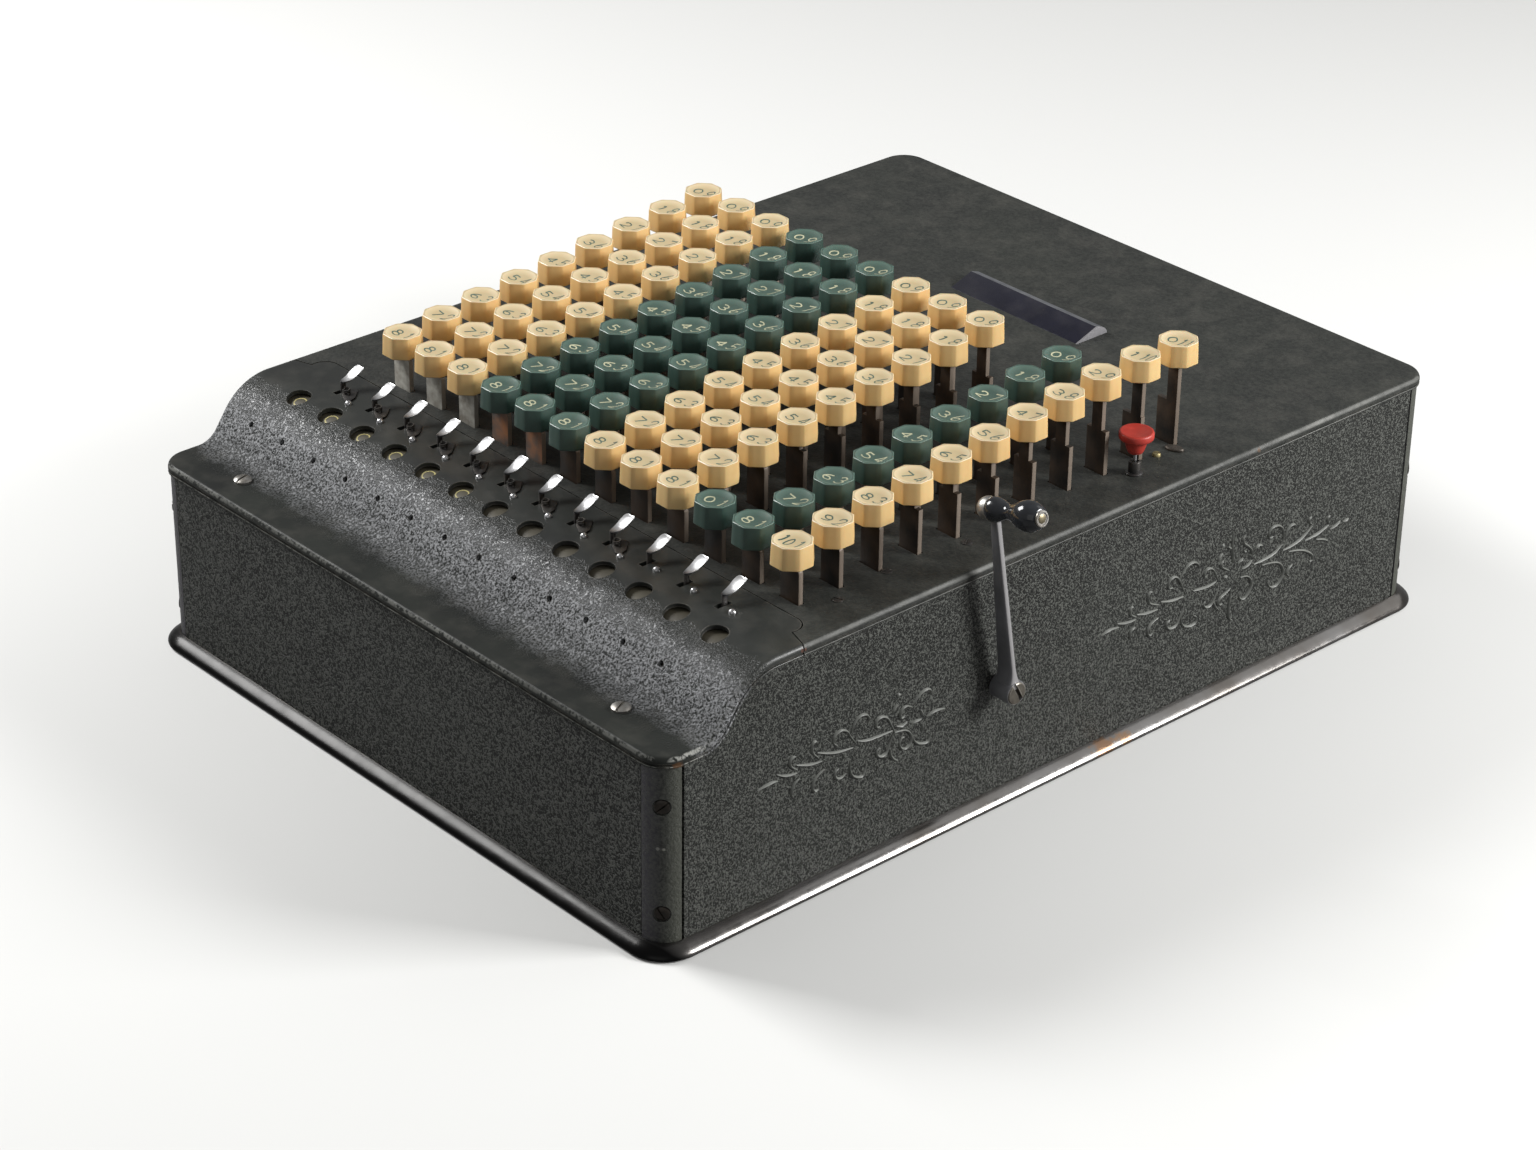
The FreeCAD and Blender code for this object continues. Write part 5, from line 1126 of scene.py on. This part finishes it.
for k, x in enumerate(leverX):
    number = f"{k + 1:02d}"
    body = f"cutoff_lever_{number}"
    blade = addPiece(f"lever{number}", [bladeShape(x)], paint["darkSteel"], body, [body],
                     bevel=0.12)
    carve(blade, [moved(drill(lever["bore"], 3, 20), (x, lever["pivotY"], lever["pivotZ"]), (1, 0, 0))])
    addPiece(f"leverTab{number}", [tabShape(x)], paint["tabSteel"], body, [body], sharp=50)


spring = {"place": (-8.45, -128.4, 96.9), "radius": 1.2, "wire": 0.33, "high": 1.5, "turns": 2.5,
          "perTurn": 16, "sides": 6}


def springShape(x):
    rings = []
    steps = round(spring["turns"] * spring["perTurn"])
    dx, y, z = spring["place"]
    for k in range(steps + 1):
        a = 2 * math.pi * spring["turns"] * k / steps
        ring = []
        for i in range(spring["sides"]):
            b = 2 * math.pi * i / spring["sides"]
            out = spring["radius"] + spring["wire"] * math.cos(b)
            ring.append((x + dx + out * math.cos(a), y + out * math.sin(a),
                         z + spring["high"] * k / steps + spring["wire"] * math.sin(b)))
        rings.append(ring)
    return loft(rings)


# beside the first nine levers a clip plate carries a small spring
clip = {"count": 9, "thick": 0.6, "screw": (-1.9, -132.5), "bareScrew": (-5.9, -129.3),
        "plan": [(-9.05, -130.0), (-11.0, -127.6), (-10.65, -124.7), (-7.75, -123.7), (-3.55, -128.4),
                 (-2.65, -132.1), (-4.55, -132.4)]}
dome = [(1.35, -0.2), (1.35, 0.25), (1.15, 0.75), (0.75, 1.1), (0.3, 1.27), (0, 1.3)]
clips, springs, domes = [], [], []
top = machine["plateTop"]
for column in range(len(machine["rows"])):
    x = columnPlace(column)
    dx, y = clip["screw"] if column < clip["count"] else clip["bareScrew"]
    domes.append(moved(turned(dome, 20), (x + dx, y, top)))
    if column < clip["count"]:
        clips.append(prism([(x + a, b) for a, b in clip["plan"]], top, top + clip["thick"]))
        springs.append(springShape(x))
addPiece("leverClips", clips, paint["darkSteel"], "case", bevel=0.12)
addPiece("leverSprings", springs, paint["darkSteel"], "case", sharp=60)
addPiece("domeScrews", domes, paint["polishedSteel"], "case", sharp=40)
print("levers set")

# Hand lever
# axis is (y, z) of the shaft, corner squares the arm's section, flare widens the arm at the hub
crank = {"axis": (-36.5, 48.2), "start": 141.1, "armOuter": 149.9, "width": 7.8, "taper": 4.7, "depth": 2.3,
         "armFoot": 1.5, "lean": 12.6, "height": 73.4, "corner": 0.42, "flare": 4.6, "flareEnd": 0.13,
         "ball": (145.4, -49.1, 121.6), "ballRadius": 4.1, "ballCut": (3.0, 1.9), "screw": 9.0, "tilt": 13.0,
         "gripStart": 2.0, "gripLength": 22.4}
hubLine = [(4.1, 0), (4.5, 0.5), (4.5, 8.3), (4.25, 9.0), (4.1, 9.0), (4.1, 7.4), (0, 7.4)]
gripAxis = (math.cos(math.radians(crank["tilt"])), 0.0, math.sin(math.radians(crank["tilt"])))
axisY, axisZ = crank["axis"]


def armRing(share):
    # a flat bar with rounded corners: its outer face is straight, the inner one tapers up the arm
    width, depth = crank["width"] - crank["taper"] * share, crank["depth"]
    depth += crank["flare"] * max(0.0, 1 - share / crank["flareEnd"]) ** 2
    x = crank["armOuter"] - width / 2
    foot = crank["armFoot"]
    y, z = axisY - crank["lean"] * share, axisZ + foot + (crank["height"] - foot) * share
    ring = []
    for c, s, _ in circle(1.0, 0, 24):
        ring.append((x + width / 2 * math.copysign(abs(c) ** crank["corner"], c),
                     y + depth / 2 * math.copysign(abs(s) ** crank["corner"], s), z))
    return ring


# close rings where the arm flares, wider ones from there to the ball
shares = [k / 120 for k in range(16)] + [k / 24 for k in range(4, 25)]
hub = moved(turned(hubLine, 36), (crank["start"], axisY, axisZ), (1, 0, 0))
addPiece("crankArm", [hub, loft([armRing(share) for share in shares])], paint["armSteel"],
         "hand_lever", ["crank_arm"], sharp=40)
ballLine = [(0, -crank["ballRadius"])] + arcPoints((0, 0), crank["ballRadius"], -80, 20, 10)
ballShape = turned(ballLine + [crank["ballCut"], (0, crank["ballCut"][1])], 32)
addPiece("crankBall", [moved(ballShape, crank["ball"], gripAxis)], paint["ballSteel"], "hand_lever",
         ["crank_arm"])
screwFace = turned([(4.0, -1.5), (4.0, 0.25), (3.75, 0.5), (2.0, 0.65), (0, 0.7)], 32)
screwPlace = (crank["start"] + crank["screw"], axisY, axisZ)
crankScrew = addPiece("crankScrew", [moved(screwFace, screwPlace, (1, 0, 0))], paint["bronzeScrew"],
                      "hand_lever")
carve(crankScrew, [moved(block(-4.5, -0.3, -1.1, 4.5, 1.2, 2), screwPlace, (1, 0, 0), -1.08)])

gripLine = [(1.4, 0.0), (3.9, 0.0), (4.25, 0.25), (4.4, 1.1), (4.3, 2.2), (3.9, 3.8), (3.3, 5.4), (2.8, 6.9),
            (2.65, 7.8), (2.8, 8.9), (3.3, 10.4), (4.1, 12.2), (4.85, 13.8), (5.3, 15.4), (5.45, 17.0),
            (5.3, 18.6), (4.85, 20.0), (4.2, 21.2), (3.5, 22.1), (3.1, 22.4), (1.4, 22.4)]
gripForm = turned([(r, crank["gripStart"] + h) for r, h in gripLine], 40, wrap=True)
addPiece("crankGrip", [moved(gripForm, crank["ball"], gripAxis)], paint["gripBlack"], "grip",
         ["crank_grip"], sharp=50)
end = crank["gripStart"] + crank["gripLength"]
pinForm = turned([(1.3, 1.5), (1.3, end + 0.1), (2.9, end + 0.1), (2.9, end + 0.55), (2.65, end + 0.8),
                  (2.2, end + 0.8), (2.0, end + 0.5), (0, end + 0.5)], 32)
addPiece("gripPin", [moved(pinForm, crank["ball"], gripAxis)], paint["ballSteel"], "hand_lever",
         ["grip_pin"])
pinHead = turned([(1.6, end + 0.4), (1.6, end + 0.65), (1.3, end + 0.8), (0, end + 0.85)], 24)
addPiece("gripPinBrass", [moved(pinHead, crank["ball"], gripAxis)], paint["pinBrass"], "hand_lever")
print("hand lever set")

# Release button
# (radius, height above the desk) of the cup, its rod and its collar
button = {"rod": 1.4, "neck": 0.65, "neckFrom": (97.0, 97.6), "rodTop": 104.6}
buttonPlace = (machine["buttonX"], machine["buttonY"], 0.0)
cup = turned([(0, 104.2), (2.4, 104.2), (2.75, 104.5), (3.2, 105.6), (3.7, 107.2), (4.1, 109.0), (4.4, 109.4),
              (5.9, 109.7), (6.2, 110.1), (6.3, 110.8), (6.3, 111.8), (6.1, 112.35), (5.7, 112.6),
              (5.2, 112.5), (3.5, 112.2), (1.8, 112.05), (0, 112.0)], 40)
addPiece("buttonCup", [moved(cup, buttonPlace)], paint["buttonRed"], "release_button",
         ["release_button"], sharp=50)
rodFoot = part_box("button_stem")[0][2] / mm
rod = turned([(button["rod"], rodFoot), (button["rod"], button["neckFrom"][0]),
              (button["neck"], button["neckFrom"][1]), (button["neck"], button["rodTop"])], 24)
addPiece("buttonRod", [moved(rod, buttonPlace)], paint["polishedSteel"], "release_button",
         ["button_stem"])
collar = turned([(1.47, 96.0), (3.1, 96.0), (3.1, 96.4), (2.9, 96.6), (2.25, 96.8), (2.2, 100.4),
                 (2.05, 100.75), (1.8, 100.9), (1.47, 100.9)], 32, wrap=True)
addPiece("buttonCollar", [moved(collar, buttonPlace)], paint["darkSteel"], "case",
         ["button_collar"])

# Bare bar behind the keys
# start and end are along X, front to shoulder along Y, and the cheek closes the right end
bar = {"start": -28.6, "end": 38.8, "front": 104.0, "rear": 120.2, "crest": 114.7, "crestHigh": 3.8,
       "shoulder": 118.8, "shoulderHigh": 2.4, "cheek": 0.8, "cheekRear": (-0.2, 1.1),
       "cheekCrest": (1.6, -0.2)}


def barWedge(x0, x1, outline):
    return loft([[(x0, y, z) for y, z in outline], [(x1, y, z) for y, z in outline]])


faceOutline = [(bar["front"], top), (bar["crest"], top), (bar["crest"], top + bar["crestHigh"])]
edgeOutline = [(bar["crest"], top), (bar["rear"], top), (bar["shoulder"], top + bar["shoulderHigh"]),
               (bar["crest"], top + bar["crestHigh"])]
inner = bar["end"] - bar["cheek"]
addPiece("barFace", [barWedge(bar["start"], inner, faceOutline)], paint["barFace"], "case",
         ["name_bar"], bevel=0.12)
addPiece("barEdge", [barWedge(bar["start"], inner, edgeOutline)], paint["barEdge"], "case",
         ["name_bar"])
crestTop = top + bar["crestHigh"]
cheekOutline = [(bar["front"], top), (bar["rear"], top),
                (bar["rear"] + bar["cheekRear"][0], top + bar["cheekRear"][1]),
                (bar["shoulder"], top + bar["shoulderHigh"]),
                (bar["crest"] + bar["cheekCrest"][0], crestTop + bar["cheekCrest"][1]),
                (bar["crest"], crestTop)]
# the cheek's light grey is painted light
addPiece("barCheek", [barWedge(inner, bar["end"], cheekOutline)], paint["litBarCheek"], "case",
         ["name_bar"], bevel=0.1)


# Screws
# line and slot are in shares of a screw's radius and height
screwHead = {"sink": 0.3, "line": [(1.0, 0.5), (0.82, 0.85), (0.4, 1.0), (0.0, 1.0)],
             "slotFrom": 0.35, "slotTo": 2, "slotReach": 1.3}


def slottedScrew(name, kind, places, axis=(0, 0, 1)):
    # places holds each screw's place and the turn of its slot
    radius, high, slot = kind["radius"], kind["high"], kind["slot"]
    line = [(radius * out, high * up) for out, up in screwHead["line"]]
    head = turned([(radius, -screwHead["sink"])] + line, 28)
    piece = addPiece(name, [moved(head, place, axis) for place, _ in places], paint[kind["finish"]], "case")
    reach = radius * screwHead["slotReach"]
    cutter = block(-reach, -slot / 2, high * screwHead["slotFrom"], reach, slot / 2,
                   high * screwHead["slotTo"])
    carve(piece, [moved(cutter, place, axis, spin) for place, spin in places], 40)


screws = {
    "coverScrews": {
        "radius": 3.4, "high": 1.5, "slot": 0.95, "finish": "ballSteel",
        "places": [((-105.4, -173.4, 75.0), 1.8), ((105.4, -173.4, 75.0), 1.97)]},
    "plateScrews": {
        "radius": 1.9, "high": 0.5, "slot": 0.6, "finish": "darkSteel",
        "places": [((125.5, -97.4, 96.0), 0.4), ((121.7, -71.9, 96.0), 1.3), ((124.5, -37.2, 96.0), 2.2),
                   ((-124.5, -37.2, 96.0), 0.8), ((-124.5, 60.0, 96.0), 1.9)]},
    "brassPlateScrew": {
        "radius": 1.6, "high": 1.3, "slot": 0.5, "finish": "brassScrew",
        "places": [((121.2, 59.3, 96.0), 0.7)]},
}
for name, kind in screws.items():
    slottedScrew(name, kind, kind["places"])

oval = {"place": (122.2, 67.5, 96.0), "turn": 0.35, "flat": 0.55,
        "line": [(3.6, -0.2), (3.6, 0.6), (3.2, 1.0), (0, 1.1)]}
ovalDisc = turned(oval["line"], 32)
ovalDisc = ([(px, oval["flat"] * py, pz) for px, py, pz in ovalDisc[0]], ovalDisc[1])
addPiece("ovalButton", [moved(ovalDisc, oval["place"], spin=oval["turn"])], paint["frameSteel"], "case")

postScrew = {"radius": 2.6, "high": 1.0, "slot": 0.7, "finish": "blackScrew", "turns": (0.7, 2.1)}
for k, (sideX, sideY) in enumerate(corners):
    x = sideX * (machine["halfWidth"] - diagonal - sunk)
    y = sideY * (machine["halfDepth"] - diagonal - sunk)
    places = [((x, y, z), spin) for z, spin in zip(post["screws"], postScrew["turns"])]
    slottedScrew(f"postScrews{k + 1}", postScrew, places, (sideX, sideY, 0))
print("screws set")

# Light, floor and camera
studio = {"floor": (0.70, 0.70, 0.685), "bounce": (0.16, 0.16, 0.16), "rough": 0.7, "world": 0.24,
          "floorHalf": 4000, "floorThick": 30, "aim": (0, 0, 60)}
half = studio["floorHalf"]
floorMesh = bpy.data.meshes.new("floor")
fillMesh(floorMesh, [block(-half, -half, -studio["floorThick"], half, half, 0)], 30)
floor = bpy.data.objects.new("floor", floorMesh)
bpy.context.scene.collection.objects.link(floor)
floorPaint = bpy.data.materials.new("floorPaint")
floorPaint.use_nodes = True
floorShader = floorPaint.node_tree.nodes["Principled BSDF"]
floorShader.inputs["Roughness"].default_value = studio["rough"]
# pale to the camera, darker in what it throws back onto the machine
seen = floorPaint.node_tree.nodes.new("ShaderNodeLightPath")
shade = floorPaint.node_tree.nodes.new("ShaderNodeMix")
shade.data_type = "RGBA"
shade.inputs[6].default_value = (*studio["bounce"], 1)
shade.inputs[7].default_value = (*studio["floor"], 1)
floorPaint.node_tree.links.new(seen.outputs["Is Camera Ray"], shade.inputs[0])
floorPaint.node_tree.links.new(shade.outputs[2], floorShader.inputs["Base Color"])
floorMesh.materials.append(floorPaint)

world = bpy.data.worlds.new("studio")
world.use_nodes = True
background = world.node_tree.nodes["Background"]
background.inputs["Color"].default_value = (1, 1, 1, 1)
background.inputs["Strength"].default_value = studio["world"]
bpy.context.scene.world = world

lamps = {  # place in mm, power in W, size in mm
    "keyLight": ((-930, -440, 860), 19.0, 500),
    "sideLight": ((950, 650, 620), 20.0, 440),
    "fillLight": ((700, -1100, 600), 1.0, 900),
    "rearLight": ((300, 1000, 900), 2.0, 800),
}
for name, (place, power, across) in lamps.items():
    lamp = bpy.data.lights.new(name, "AREA")
    lamp.energy = power
    lamp.size = across * mm
    lampObject = bpy.data.objects.new(name, lamp)
    lampObject.location = Vector(place) * mm
    lampObject.rotation_euler = (Vector(studio["aim"]) - Vector(place)).to_track_quat("-Z", "Y").to_euler()
    bpy.context.scene.collection.objects.link(lampObject)

# place in mm, angles in degrees, lens and sensor in mm, farthest in m
view = {"place": (928.45, -856.21, 707.43), "yaw": 47.817, "pitch": 28.609, "roll": 0.773, "lens": 90.265,
        "sensor": 36.0, "farthest": 20.0}
yaw, pitch, roll = (math.radians(view[key]) for key in ("yaw", "pitch", "roll"))
forward = Vector((-math.sin(yaw) * math.cos(pitch), math.cos(yaw) * math.cos(pitch), -math.sin(pitch)))
level = forward.cross(Vector((0, 0, 1))).normalized()
upward = level.cross(forward)
right = math.cos(roll) * level + math.sin(roll) * upward
above = -math.sin(roll) * level + math.cos(roll) * upward
cameraData = bpy.data.cameras.new("camera")
cameraData.lens = view["lens"]
cameraData.sensor_width = view["sensor"]
cameraData.clip_end = view["farthest"]
camera = bpy.data.objects.new("camera", cameraData)
facing = Matrix((right, above, -forward)).transposed().to_4x4()
camera.matrix_world = Matrix.Translation(Vector(view["place"]) * mm) @ facing
bpy.context.scene.collection.objects.link(camera)
bpy.context.scene.camera = camera
bpy.context.scene.view_settings.view_transform = "Standard"

print("all pieces set")
